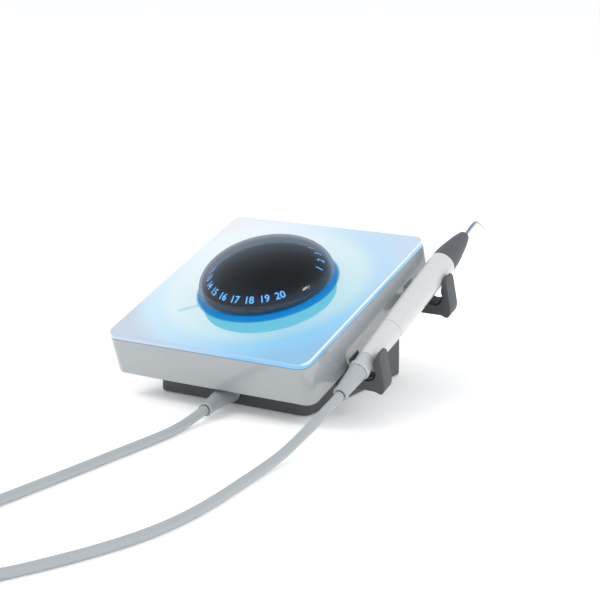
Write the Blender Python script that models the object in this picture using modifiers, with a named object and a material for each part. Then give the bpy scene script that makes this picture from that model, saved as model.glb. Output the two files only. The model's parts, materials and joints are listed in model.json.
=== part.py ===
"""Table-top ultrasonic scaler: a sloping console with a large lit knob, two cradles and a corded handpiece.

Frame: the origin is the centre of the base's underside, +X is to the right, +Y to the rear and +Z up.
Lengths are in millimetres here, and the mm() helpers turn them into Blender's metres.
"""
import math

import bmesh
import bpy
from mathutils import Euler, Vector

MM = 0.001
GAP = 0.3  # clearance between pieces that touch on the real object

# Console
BASE_WIDTH, BASE_LENGTH = 136.5, 145.5
BASE_WALL, BASE_CORNER = 2.6, 8.0
FOOT_PROUD = 1.0  # the rubber feet stand this far below the underside
FLOOR = -FOOT_PROUD

TILT = 19.62  # degrees, slope of the casing towards the user
DECK_CENTRE = (0.0, -19.36, 78.38)  # centre of the casing's rim
CASE_WIDTH, CASE_DEPTH, CASE_HEIGHT = 180.0, 190.0, 31.9
CASE_WALL, CASE_CORNER = 2.6, 9.0
PLATE_TOP = 4.7

# Knob, measured from the casing's rim along the slope's normal
KNOB_RADIUS, KNOB_BASE, KNOB_TOP = 53.4, 5.0, 34.8
CORE_RADIUS, CORE_BASE, CORE_TOP = 50.0, 6.8, 28.8
SHAFT_RADIUS = 3.0

# Handpiece
HAND_X = 107.0
HAND_ORIGIN = (HAND_X, -12.75, 61.99)
HAND_RISE = 23.79  # degrees above the table
CORD_RADIUS = 3.6

# Cradles
CRADLE_THICK = 12.0
CRADLE_FRONT, CRADLE_REAR = -48.5, 60.5  # the front faces, along the slope
SEAT_BOTTOM = -35.5


def deg(angle):
    return math.radians(angle)


def mm(point):
    return Vector(point) * MM


# ---------------------------------------------------------------- scene, collections and materials

def clear_scene():
    for item in list(bpy.data.objects):
        bpy.data.objects.remove(item, do_unlink=True)


def new_collection(name):
    collection = bpy.data.collections.new(name)
    bpy.context.scene.collection.children.link(collection)
    return collection


clear_scene()
PARTS = new_collection("ultrasonic_scaler")
CUTTERS = new_collection("cutters")


def material(name, colour, roughness, metallic=0.0):
    found = bpy.data.materials.get(name)
    if found:
        return found
    made = bpy.data.materials.new(name)
    made.use_nodes = True
    shader = made.node_tree.nodes["Principled BSDF"]
    shader.inputs["Base Color"].default_value = (*colour, 1.0)
    shader.inputs["Roughness"].default_value = roughness
    shader.inputs["Metallic"].default_value = metallic
    return made


CASE_GREY = ("case_grey", (0.47, 0.50, 0.51), 0.25)
PLATE_WHITE = ("plate_white", (0.75, 0.88, 0.95), 0.15)
DARK_GREY = ("dark_grey", (0.06, 0.065, 0.07), 0.5)
CRADLE_GREY = ("cradle_grey", (0.10, 0.105, 0.11), 0.5)
SMOKED = ("smoked_clear", (0.05, 0.06, 0.07), 0.03)
BLACK = ("knob_black", (0.01, 0.011, 0.012), 0.3)
BLUE = ("lit_blue", (0.0, 0.25, 0.6), 0.3)
RUBBER = ("rubber_black", (0.02, 0.02, 0.02), 0.8)
STEEL = ("steel", (0.55, 0.58, 0.6), 0.25, 1.0)
BRASS = ("brass", (0.6, 0.45, 0.2), 0.3, 1.0)
ALUMINIUM = ("aluminium", (0.6, 0.6, 0.62), 0.4, 1.0)
BOARD = ("circuit_board", (0.02, 0.16, 0.07), 0.5)
DIFFUSER = ("diffuser_white", (0.85, 0.88, 0.9), 0.6)
HAND_WHITE = ("handpiece_white", (0.8, 0.8, 0.79), 0.3)
CONE_GREY = ("cone_grey", (0.12, 0.125, 0.13), 0.6)
CORD_GREY = ("cord_grey", (0.42, 0.45, 0.46), 0.45)
CERAMIC = ("ceramic", (0.75, 0.72, 0.62), 0.4)
BLACK_PLASTIC = ("black_plastic", (0.02, 0.02, 0.022), 0.4)
COPPER = ("copper", (0.6, 0.3, 0.15), 0.35, 1.0)


# ---------------------------------------------------------------- placing and cutting

def empty(name, location, rotation=(0.0, 0.0, 0.0), parent=None):
    item = bpy.data.objects.new(name, None)
    item.location = mm(location)
    item.rotation_euler = Euler([deg(a) for a in rotation])
    item.parent = parent
    PARTS.objects.link(item)
    return item


def place(name, data, look, parent=None, location=(0, 0, 0), rotation=(0, 0, 0)):
    item = bpy.data.objects.new(name, data)
    item.parent = parent
    item.location = mm(location)
    item.rotation_euler = Euler([deg(a) for a in rotation])
    if look is None:
        item.hide_render = True
        item.display_type = "WIRE"
        CUTTERS.objects.link(item)
    else:
        data.materials.append(material(*look))
        PARTS.objects.link(item)
    return item


def boolean(target, other, operation="DIFFERENCE"):
    """Cuts target with other, joins other to it, or keeps what both hold."""
    other.hide_render = True
    other.display_type = "WIRE"
    change = target.modifiers.new(other.name, "BOOLEAN")
    change.operation = operation
    change.object = other
    change.solver = "EXACT"
    return target


def smooth(mesh, angle=35.0):
    mesh.shade_smooth()
    mesh.set_sharp_from_angle(angle=deg(angle))
    return mesh


# ---------------------------------------------------------------- shapes

def block_mesh(name, size, corner=0.0, corner_steps=5, top=0.0, bottom=0.0, edge_steps=2):
    """A block on z = 0 with its upright edges, and then its top or bottom rim, rounded."""
    width, depth, height = size
    mesh = bpy.data.meshes.new(name)
    body = bmesh.new()
    bmesh.ops.create_cube(body, size=1.0)
    bmesh.ops.scale(body, vec=mm((width, depth, height)), verts=body.verts)
    bmesh.ops.translate(body, vec=mm((0, 0, height / 2)), verts=body.verts)
    if corner:
        upright = [e for e in body.edges if abs(e.verts[0].co.z - e.verts[1].co.z) > height * MM / 2]
        bmesh.ops.bevel(body, geom=upright, offset=corner * MM, segments=corner_steps, profile=0.5, affect="EDGES")
    for radius, level in ((top, height * MM), (bottom, 0.0)):
        if radius:
            rim = [e for e in body.edges if all(abs(v.co.z - level) < 1e-6 for v in e.verts)]
            bmesh.ops.bevel(body, geom=rim, offset=radius * MM, segments=edge_steps, profile=0.5, affect="EDGES")
    bmesh.ops.recalc_face_normals(body, faces=body.faces)
    body.to_mesh(mesh)
    body.free()
    return smooth(mesh)


def block(name, size, look, parent=None, location=(0, 0, 0), rotation=(0, 0, 0), **shape):
    return place(name, block_mesh(name, size, **shape), look, parent, location, rotation)


def rod(name, radius, length, look, parent=None, location=(0, 0, 0), rotation=(0, 0, 0), sides=24, end_radius=None):
    """A cylinder or cone from z = 0 up to its length."""
    mesh = bpy.data.meshes.new(name)
    body = bmesh.new()
    second = radius if end_radius is None else end_radius
    bmesh.ops.create_cone(
        body, cap_ends=True, segments=sides, radius1=radius * MM, radius2=second * MM, depth=length * MM
    )
    bmesh.ops.translate(body, vec=mm((0, 0, length / 2)), verts=body.verts)
    body.to_mesh(mesh)
    body.free()
    return place(name, smooth(mesh), look, parent, location, rotation)


def turned(name, profile, look, parent=None, location=(0, 0, 0), rotation=(0, 0, 0), steps=24, ring=False):
    """A piece turned about z from (radius, height) points that run down its outer side.

    A ring's profile is a closed loop; any other starts and ends on the axis.
    """
    mesh = bpy.data.meshes.new(name)
    body = bmesh.new()
    points = [body.verts.new(mm((radius, 0, height))) for radius, height in profile]
    for first, second in zip(points, points[1:]):
        body.edges.new((first, second))
    if ring:
        body.edges.new((points[-1], points[0]))
    body.to_mesh(mesh)
    body.free()
    item = place(name, mesh, look, parent, location, rotation)
    turn = item.modifiers.new("turn", "SCREW")
    turn.angle = deg(360)
    turn.steps = steps
    turn.render_steps = steps
    turn.use_merge_vertices = True
    turn.merge_threshold = 0.00001
    turn.use_smooth_shade = True
    return item


def curve(points, radius, resolution=2, thickness_scale=None):
    data = bpy.data.curves.new("path", "CURVE")
    data.dimensions = "3D"
    data.bevel_depth = radius * MM
    data.bevel_resolution = resolution
    data.use_fill_caps = True
    line = data.splines.new("POLY")
    line.points.add(len(points) - 1)
    for index, (target, point) in enumerate(zip(line.points, points)):
        target.co = (*mm(point), 1.0)
        if thickness_scale:
            target.radius = thickness_scale[index]
    return data


def between(first, second, start, end, time):
    return first * ((end - time) / (end - start)) + second * ((time - start) / (end - start))


def smooth_route(knots, spacing):
    """Points about spacing apart along a centripetal Catmull-Rom curve through the knots."""
    knots = [Vector(k) for k in knots]
    knots = [knots[0] * 2 - knots[1], *knots, knots[-1] * 2 - knots[-2]]
    route = []
    for p0, p1, p2, p3 in zip(knots, knots[1:], knots[2:], knots[3:]):
        t0 = 0.0
        t1 = t0 + math.sqrt((p1 - p0).length)
        t2 = t1 + math.sqrt((p2 - p1).length)
        t3 = t2 + math.sqrt((p3 - p2).length)
        count = max(1, round((p2 - p1).length / spacing))
        for step in range(count):
            t = between(t1, t2, 0, count, step)
            a1, a2, a3 = between(p0, p1, t0, t1, t), between(p1, p2, t1, t2, t), between(p2, p3, t2, t3, t)
            b1, b2 = between(a1, a2, t0, t2, t), between(a2, a3, t1, t3, t)
            route.append(between(b1, b2, t1, t2, t))
    route.append(knots[-2])
    return route


def tube(name, points, radius, look, parent=None, resolution=2, thickness_scale=None):
    return place(name, curve(points, radius, resolution, thickness_scale), look, parent)


def outline(name, points, thickness, look, parent=None, location=(0, 0, 0), rotation=(0, 0, 0)):
    """A flat outline in x and y, made as a filled curve and thickened from z = 0 upwards."""
    data = bpy.data.curves.new(name, "CURVE")
    data.dimensions = "2D"
    data.fill_mode = "BOTH"
    data.extrude = thickness * MM / 2
    line = data.splines.new("POLY")
    line.use_cyclic_u = True
    line.points.add(len(points) - 1)
    for target, (x, y) in zip(line.points, points):
        target.co = (x * MM, y * MM, 0.0, 1.0)
    guide = bpy.data.objects.new(name + "_outline", data)
    CUTTERS.objects.link(guide)
    bpy.context.view_layer.update()
    mesh = bpy.data.meshes.new_from_object(guide.evaluated_get(bpy.context.evaluated_depsgraph_get()))
    bpy.data.objects.remove(guide, do_unlink=True)
    body = bmesh.new()
    body.from_mesh(mesh)
    bmesh.ops.remove_doubles(body, verts=body.verts, dist=1e-6)
    bmesh.ops.translate(body, vec=mm((0, 0, thickness / 2)), verts=body.verts)
    bmesh.ops.recalc_face_normals(body, faces=body.faces)
    body.to_mesh(mesh)
    body.free()
    mesh.materials.clear()
    return place(name, mesh, look, parent, location, rotation)


def arc(centre, radius, start, end, steps):
    """Points round a circle from one angle to another, in degrees."""
    return [
        (centre[0] + radius * math.cos(deg(a)), centre[1] + radius * math.sin(deg(a)))
        for a in (start + (end - start) * i / steps for i in range(steps + 1))
    ]


# ---------------------------------------------------------------- base

REAR_WALL = BASE_LENGTH / 2
PORT_HEIGHT = 22.0
INLET_X, SWITCH_X, PEDAL_X, WATER_X = -40.0, -10.0, 16.0, 50.0
FLOW_X, FLOW_HEIGHT = 40.0, 48.0
CORD_PORT = (0.0, -REAR_WALL, 10.6)
INLET_SIZE = (28.0, 20.0)
SWITCH_SIZE = (13.6, 19.6)


def opening(name, size, centre):
    """A straight cutter through a wall, size being its x, y and z."""
    width, depth, height = size
    x, y, z = centre
    return block(name, (width, depth, height), None, location=(x, y, z - height / 2), corner=0)


def base_shell():
    shell = block(
        "base_shell", (BASE_WIDTH, BASE_LENGTH, 100.0), DARK_GREY, corner=BASE_CORNER, corner_steps=6
    )
    inside = block(
        "base_shell_inside",
        (BASE_WIDTH - 2 * BASE_WALL, BASE_LENGTH - 2 * BASE_WALL, 110.0),
        None,
        location=(0, 0, -5),
        corner=BASE_CORNER - BASE_WALL,
        corner_steps=6,
    )
    above = block(
        "base_shell_above",
        (2 * BASE_WIDTH, 2 * BASE_LENGTH, 120.0),
        None,
        parent=DECK,
        location=(0, 0, -CASE_HEIGHT - GAP),
    )
    boolean(shell, inside)
    boolean(shell, above)
    ports = [
        opening("inlet_port", (INLET_SIZE[0], 8, INLET_SIZE[1]), (INLET_X, REAR_WALL, PORT_HEIGHT)),
        opening("switch_port", (SWITCH_SIZE[0], 8, SWITCH_SIZE[1]), (SWITCH_X, REAR_WALL, PORT_HEIGHT)),
    ]
    for name, radius, x, height in (
        ("pedal_port", 7.3, PEDAL_X, PORT_HEIGHT),
        ("water_port", 5.3, WATER_X, PORT_HEIGHT),
        ("flow_port", 3.3, FLOW_X, FLOW_HEIGHT),
    ):
        ports.append(rod(name, radius, 8, None, location=(x, REAR_WALL + 4, height), rotation=(90, 0, 0)))
    ports.append(
        rod("cord_port", 6.6, 8, None, location=(0, CORD_PORT[1] + 4, CORD_PORT[2]), rotation=(90, 0, 0))
    )
    for port in ports:
        boolean(shell, port)


FOOT_X, FOOT_Y, FOOT_RADIUS, FOOT_POCKET = 54.0, 59.0, 6.5, 0.8
SCREW_X, SCREW_Y = 36.0, 63.0
COVER_THICK = 2.4
CORNERS = (("front_left", -1, -1), ("front_right", 1, -1), ("rear_left", -1, 1), ("rear_right", 1, 1))


def base_cover():
    inner_width = BASE_WIDTH - 2 * (BASE_WALL + GAP)
    inner_length = BASE_LENGTH - 2 * (BASE_WALL + GAP)
    cover = block(
        "base_cover",
        (inner_width, inner_length, COVER_THICK),
        DARK_GREY,
        corner=BASE_CORNER - BASE_WALL - GAP,
        corner_steps=4,
    )
    for name, side, end in CORNERS:
        foot_place = (side * FOOT_X, end * FOOT_Y)
        screw_place = (side * SCREW_X, end * SCREW_Y)
        pocket = rod("foot_pocket_" + name, FOOT_RADIUS + GAP, 5, None, location=(*foot_place, FOOT_POCKET - 5))
        hole = rod("screw_hole_" + name, 1.6 + GAP, 9, None, location=(*screw_place, -3), sides=16)
        recess = rod("screw_recess_" + name, 3.0 + GAP, 5, None, location=(*screw_place, 1.4 - 5), sides=16)
        boolean(cover, pocket)
        boolean(cover, hole)
        boolean(cover, recess)
        foot_height = FOOT_PROUD + FOOT_POCKET - GAP
        turned(
            "foot_" + name,
            [(0, foot_height), (FOOT_RADIUS, foot_height), (FOOT_RADIUS, 0.5), (FOOT_RADIUS - 0.5, 0), (0, 0)],
            RUBBER,
            location=(*foot_place, FLOOR),
            steps=24,
        )
        turned(
            "base_screw_" + name,
            [(0, 6.5), (1.6, 6.0), (1.6, 0.9), (3.0, 0.9), (3.0, 0), (1.2, 0), (1.2, 0.5), (0, 0.5)],
            STEEL,
            location=(*screw_place, 0.2),
            steps=16,
        )


def front_cord_exit():
    """The bush in the base's front wall and the tapered boot that the cord leaves by."""
    turned(
        "cord_bush",
        [(4.4, 3.2), (8.6, 3.2), (9.4, 2.4), (9.4, GAP), (6.2, GAP), (6.2, -5.5), (4.4, -5.5)],
        CORD_GREY, location=CORD_PORT, rotation=(90, 0, 0), ring=True,
    )
    turned(
        "cord_boot_front",
        [(3.9, 43.5), (5.1, 43.5), (5.5, 43.0), (5.5, 41.0), (5.3, 40.4), (5.7, 30.0), (6.7, 18.0),
         (7.8, 8.0), (8.1, 5.0), (3.9, 5.0)],
        CORD_GREY, location=CORD_PORT, rotation=(95, 0, 8.5), ring=True,
    )


def comb(width, height, foot, fins, fin_width):
    """Outline of a heat sink's section: a foot with upright fins."""
    points = [(width / 2, 0), (width / 2, height)]
    pitch = (width - fin_width) / (fins - 1)
    for index in range(fins - 1):
        right = width / 2 - fin_width - index * pitch
        left = right - pitch + fin_width
        points += [(right, height), (right, foot), (left, foot), (left, height)]
    return points + [(-width / 2, height), (-width / 2, 0)]


def power_stage():
    """The generator board and what stands round it on the base cover."""
    board = block("generator_board", (96, 52, 1.6), BOARD, location=(-10, -26, 7.0))
    for name, size, x, y in (
        ("relay", (15, 12, 11), -46, -38),
        ("capacitor_bank", (20, 12, 9), -18, -36),
        ("driver_chip", (14, 14, 3), 8, -22),
        ("filter_coil", (13, 13, 8), 26, -34),
        ("supply_connector", (8, 22, 7), -50, -12),
    ):
        boolean(board, block("board_" + name, size, None, location=(x, y, 8.2)), "UNION")
    for index, (x, y) in enumerate(((-54, -47), (34, -47), (-54, -5), (34, -5))):
        post = rod(f"board_post_{index}", 2.5, 5, None, location=(x, y, COVER_THICK + GAP), sides=12)
        boolean(board, post, "UNION")
    block(
        "power_transformer", (40, 32, 30), COPPER, location=(-40, 22, COVER_THICK + GAP), corner=3,
        corner_steps=3, top=3,
    )
    outline(
        "heat_sink", comb(34, 24, 4, 7, 2.0), 28, ALUMINIUM, location=(4, 34, COVER_THICK + GAP),
        rotation=(90, 0, 0),
    )


def water_circuit():
    """Inlet fitting, regulator, flow valve and the hoses between them."""
    valve = block(
        "solenoid_valve", (18, 24, 14), BRASS, location=(45, 24, COVER_THICK + GAP), corner=2, corner_steps=2
    )
    boolean(valve, rod("valve_coil", 8, 18, None, location=(45, 24, 15), sides=24), "UNION")
    turned(
        "water_regulator",
        [(0, 30), (5, 30), (5, 25), (9, 25), (9, 3), (7, 0), (0, 0)],
        BRASS,
        location=(50, -16, COVER_THICK + GAP + 3),
        steps=24,
    )
    turned(
        "water_inlet",
        [(0, 15), (1.9, 15), (3.0, 11), (2.4, 11), (3.2, 7), (3.2, 4), (7, 4), (7, GAP), (5, GAP), (5, -12),
         (2, -12), (2, -18), (0, -18)],
        BRASS,
        location=(WATER_X, REAR_WALL, PORT_HEIGHT),
        rotation=(-90, 0, 0),
        steps=24,
    )
    tube(
        "inlet_hose",
        smooth_route([(50, 54.3, 22), (50, 49, 21), (47, 45, 14), (45, 41, 9.6), (45, 36.6, 9)], 5),
        2.4,
        DIFFUSER,
    )
    tube(
        "outlet_hose",
        smooth_route(
            [(45, 11.4, 9), (45, 6, 9), (39, -6, 12), (38.5, -30, 13), (36, -50, 14), (26, -59, 13),
             (10, -60, 11), (1.5, -61.5, 10.6)],
            6,
        ),
        2.4,
        DIFFUSER,
    )


def rear_panel():
    """Mains inlet, power switch, pedal socket and the water flow knob."""
    width, height = INLET_SIZE
    inlet = block(
        "mains_inlet", (width - 2 * GAP, 24, height - 2 * GAP), BLACK_PLASTIC,
        location=(INLET_X, REAR_WALL - 10, PORT_HEIGHT - height / 2 + GAP),
    )
    flange = block(
        "inlet_flange", (width + 8, 2.2, height + 6), None,
        location=(INLET_X, REAR_WALL + GAP + 1.1, PORT_HEIGHT - height / 2 - 3),
    )
    boolean(inlet, flange, "UNION")
    cavity = block(
        "inlet_cavity", (22, 20, 15), None, location=(INLET_X, REAR_WALL - 4.5, PORT_HEIGHT - 7.5),
    )
    boolean(inlet, cavity)
    for index, (x, z) in enumerate(((-7, -1.5), (0, 2.5), (7, -1.5))):
        pin = block(
            f"inlet_pin_{index}", (2, 9, 4), None,
            location=(INLET_X + x, REAR_WALL - 11.5, PORT_HEIGHT + z - 2),
        )
        boolean(inlet, pin, "UNION")

    width, height = SWITCH_SIZE
    frame = block(
        "switch_frame", (width - 2 * GAP, 20, height - 2 * GAP), BLACK_PLASTIC,
        location=(SWITCH_X, REAR_WALL - 8, PORT_HEIGHT - height / 2 + GAP),
    )
    boolean(
        frame,
        block(
            "switch_flange", (width + 3, 2.0, height + 3), None,
            location=(SWITCH_X, REAR_WALL + GAP + 1.0, PORT_HEIGHT - height / 2 - 1.5),
        ),
        "UNION",
    )
    boolean(
        frame,
        block(
            "switch_well", (width - 3, 16, height - 3.4), None,
            location=(SWITCH_X, REAR_WALL - 3, PORT_HEIGHT - height / 2 + 1.7),
        ),
    )
    hinge = empty("switch_axis", (SWITCH_X, REAR_WALL - 2.0, PORT_HEIGHT), (90, 0, 90))
    rocker = [(-7.0, 2.2), (-6.4, 5.6), *arc((0, 15.2), 11.2, 236, 304, 6), (6.4, 5.6), (7.0, 2.2), (0, -4.5)]
    outline(
        "power_switch", [(-y, x) for x, y in rocker], width - 3 - 2 * GAP, BLACK_PLASTIC, parent=hinge,
        location=(0, 0, -(width - 3 - 2 * GAP) / 2), rotation=(0, 0, ROCKER_ON + 180),
    )

    turned(
        "pedal_socket",
        [(0, -7), (4.6, -7), (4.6, 2.8), (9.2, 2.8), (9.6, 2.4), (9.6, GAP), (6.9, GAP), (6.9, -14), (0, -14)],
        BLACK_PLASTIC,
        location=(PEDAL_X, REAR_WALL, PORT_HEIGHT),
        rotation=(-90, 0, 0),
        steps=28,
    )

    axis = empty("flow_axis", (FLOW_X, REAR_WALL, FLOW_HEIGHT), (-90, 0, 0))
    knob = turned(
        "flow_knob",
        [(0, 12), (7.0, 12), (7.8, 11.2), (8.4, 1.2), (3.0, 1.2), (3.0, -7), (0, -7)],
        BLACK_PLASTIC,
        parent=axis,
        steps=24,
    )
    boolean(
        knob,
        block("flow_pointer_slot", (1.2, 6, 3), None, parent=axis, location=(0, -5.5, 11.0)),
    )
    turned(
        "flow_bush",
        [(3.3, -3.3), (7.5, -3.3), (7.5, -9), (3.3, -9)],
        BRASS,
        parent=empty("flow_bush_place", (FLOW_X, REAR_WALL, FLOW_HEIGHT), (-90, 0, 0)),
        steps=24,
        ring=True,
    )


# ---------------------------------------------------------------- casing, plate and what they hold

BOARD_POSTS = ((-24, -18), (24, -18), (-24, 18), (24, 18))
CONTROL_LEVEL, LED_LEVEL = -24.6, -8.6


def casing_tray():
    tray = block(
        "casing_tray", (CASE_WIDTH, CASE_DEPTH, CASE_HEIGHT), CASE_GREY, parent=DECK,
        location=(0, 0, -CASE_HEIGHT), corner=CASE_CORNER, corner_steps=8, bottom=3.0, edge_steps=4,
    )
    inside = block(
        "casing_inside",
        (CASE_WIDTH - 2 * CASE_WALL, CASE_DEPTH - 2 * CASE_WALL, CASE_HEIGHT),
        None, parent=DECK, location=(0, 0, -CASE_HEIGHT + CASE_WALL), corner=CASE_CORNER - CASE_WALL,
        corner_steps=6,
    )
    boolean(tray, inside)
    window = block("wiring_window", (60, 26, 12), None, parent=DECK, location=(0, 42, -CASE_HEIGHT - 4), corner=4)
    boolean(tray, window)
    for index, (x, v) in enumerate(BOARD_POSTS):
        height = CONTROL_LEVEL - GAP + CASE_HEIGHT - CASE_WALL
        post = rod(
            f"tray_post_{index}", 3, height + 0.5, None, parent=DECK,
            location=(x, v, -CASE_HEIGHT + CASE_WALL - 0.5), sides=12,
        )
        boolean(tray, post, "UNION")


def ring_profile(inner, outer, low, high):
    return [(inner, high), (outer, high), (outer, low), (inner, low)]


def deck_layers():
    """Top plate, light guide, lamp board and the knob's control board."""
    plate = block(
        "top_plate", (CASE_WIDTH, CASE_DEPTH, PLATE_TOP - GAP), PLATE_WHITE, parent=DECK,
        location=(0, 0, GAP), corner=CASE_CORNER, corner_steps=8, top=1.6, edge_steps=3,
    )
    boolean(plate, rod("plate_hole", 8.0, 12, None, parent=DECK, location=(0, 0, -3)))
    inner_width = CASE_WIDTH - 2 * (CASE_WALL + GAP)
    inner_depth = CASE_DEPTH - 2 * (CASE_WALL + GAP)
    guide = block(
        "light_guide", (inner_width, inner_depth, 2.6), DIFFUSER, parent=DECK, location=(0, 0, -2.6),
        corner=CASE_CORNER - CASE_WALL - GAP, corner_steps=4,
    )
    boolean(guide, rod("guide_hole", 6.5, 9, None, parent=DECK, location=(0, 0, -6)))
    lamps = block("lamp_board", (160, 170, 1.6), BOARD, parent=DECK, location=(0, 0, LED_LEVEL), corner=5)
    boolean(lamps, rod("lamp_board_hole", 6.5, 9, None, parent=DECK, location=(0, 0, LED_LEVEL - 4)))
    for row in range(3):
        for column in range(4):
            if (row, column) == (1, 0):
                continue
            spot = ((column - 1.5) * 40, (row - 1) * 60, LED_LEVEL + 1.4)
            lamp = block(f"lamp_{row}_{column}", (5, 5, 1.9), None, parent=DECK, location=spot)
            boolean(lamps, lamp, "UNION")
    control = block("control_board", (70, 56, 1.6), BOARD, parent=DECK, location=(0, 0, CONTROL_LEVEL), corner=2)
    chip = block("control_chip", (12, 12, 2.2), None, parent=DECK, location=(22, 0, CONTROL_LEVEL + 1.4))
    boolean(control, chip, "UNION")
    encoder = block(
        "knob_encoder", (22, 22, 12), BLACK_PLASTIC, parent=DECK, location=(0, 0, CONTROL_LEVEL + 1.6 + GAP),
        corner=2, corner_steps=2,
    )
    neck = rod("encoder_neck", 5.5, 6, None, parent=DECK, location=(0, 0, CONTROL_LEVEL + 13))
    bore = rod("encoder_bore", SHAFT_RADIUS + 0.4, 20, None, parent=DECK, location=(0, 0, CONTROL_LEVEL + 7))
    boolean(encoder, neck, "UNION")
    boolean(encoder, bore)
    turned(
        "knob_bush",
        ring_profile(SHAFT_RADIUS + 0.4, 7.6, GAP + 0.2, PLATE_TOP - 0.2),
        BRASS, parent=DECK, ring=True,
    )


def dome(radius, base, rise, power, steps):
    """Half-outline of a low dome, from its top down to its rim."""
    points = []
    for index in range(steps + 1):
        turn = math.pi / 2 * index / steps
        out = radius * math.sin(turn) ** (2 / power)
        up = base + rise * math.cos(turn) ** (2 / power) if index < steps else base
        points.append((out, up))
    return points


def knob():
    axis = empty("knob_axis", (0, 0, 0), parent=DECK)
    lip = KNOB_BASE + 3.6
    outside = dome(KNOB_RADIUS, lip, KNOB_TOP - lip, 2.15, 11)
    inside = dome(KNOB_RADIUS - 2.2, lip, KNOB_TOP - 2.6 - lip, 2.15, 9)
    rim = [(KNOB_RADIUS - 0.5, KNOB_BASE), (KNOB_RADIUS - 2.2, KNOB_BASE)]
    turned("knob_cover", outside + rim + inside[::-1], SMOKED, parent=axis, steps=40)
    core_top = dome(CORE_RADIUS, CORE_BASE + 1.5, CORE_TOP - CORE_BASE - 1.5, 1.7, 10)
    hollow = [(CORE_RADIUS - 0.6, CORE_BASE), (CORE_RADIUS - 2.5, CORE_BASE), (40, 16), (20, 22), (7, 23.5)]
    stem = [(7, 6.2), (5.4, 6.2), (5.4, PLATE_TOP + GAP + 0.4), (SHAFT_RADIUS, PLATE_TOP + GAP + 0.4),
            (SHAFT_RADIUS, -14), (0, -14)]
    turned("knob_core", core_top + hollow + stem, BLACK, parent=axis, steps=40)
    turned(
        "knob_light_ring",
        ring_profile(46.5, 50.8, PLATE_TOP + GAP, PLATE_TOP + GAP + 1.4),
        BLUE, parent=DECK, steps=40, ring=True,
    )


# ---------------------------------------------------------------- cradles

def cradle(name, front, left_top):
    """A hooked arm from the base's side, its outline in x and the slope's normal."""
    root = BASE_WIDTH / 2 + GAP
    seat = arc((HAND_X, SEAT_BOTTOM + 9.4), 9.4, 180, 360, 12)
    points = [
        (root, -43.7), (root, -CASE_HEIGHT - GAP), (94.6, -CASE_HEIGHT - GAP), (95.5, -30.6),
        (95.5, left_top - 1.0), (96.3, left_top), (97.1, left_top - 0.6), *seat, (115.7, -22.5),
        (116.6, -19.0), (118.2, -14.5), (119.9, -10.4), (121.2, -9.0), (122.0, -10.0), (122.0, -38.0),
        (120.8, -42.2), (118.9, -45.0), (117.4, -45.6), (115.9, -45.2), (113.8, -44.2), (111.6, -43.7),
    ]
    body = outline(
        name, points, CRADLE_THICK, CRADLE_GREY, parent=DECK, location=(0, front + CRADLE_THICK, 0),
        rotation=(90, 0, 0),
    )
    half = CRADLE_THICK / 2
    side = [(-half - 1, -60), (-half - 1, -30), *arc((0, -9.0 - half), half + 0.05, 180, 0, 10), (half + 1, -30),
            (half + 1, -60)]
    rounding = outline(
        name + "_rounding", [(y, x) for x, y in side][::-1], 80, None, parent=DECK,
        location=(60, front + half, 0), rotation=(0, 0, 0),
    )
    rounding.rotation_euler = Euler((deg(90), deg(-90), deg(90)))
    screw_back = front + CRADLE_THICK - 2.2
    recess = rod(
        name + "_recess", 3.6, 6, None, parent=DECK, location=(84, screw_back, -38.2), rotation=(-90, 0, 0),
        sides=20,
    )
    boolean(body, recess)
    turned(
        name + "_screw",
        [(0, 1.1), (1.2, 1.1), (1.2, 1.9), (2.6, 1.9), (3.1, 1.4), (3.1, 0), (0, 0)],
        STEEL, parent=DECK, location=(84, screw_back + GAP, -38.2), rotation=(-90, 0, 0), steps=16,
    )
    return body


def saddle(name, front):
    """The soft pad on the floor of a cradle's seat."""
    middle = (HAND_X, SEAT_BOTTOM + 9.4)
    reach = 37.0
    bottom = arc(middle, 9.05, 270 - reach, 270 + reach, 6)
    top = arc(middle, 7.4, 270 + reach, 270 - reach, 6)
    return outline(
        name, bottom + top, 8.0, CRADLE_GREY, parent=DECK, location=(0, front + 10.0, 0), rotation=(90, 0, 0)
    )


# ---------------------------------------------------------------- handpiece

SEAM, CONE_SEAM, NOSE = -4.8, 83.8, 124.5


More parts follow.
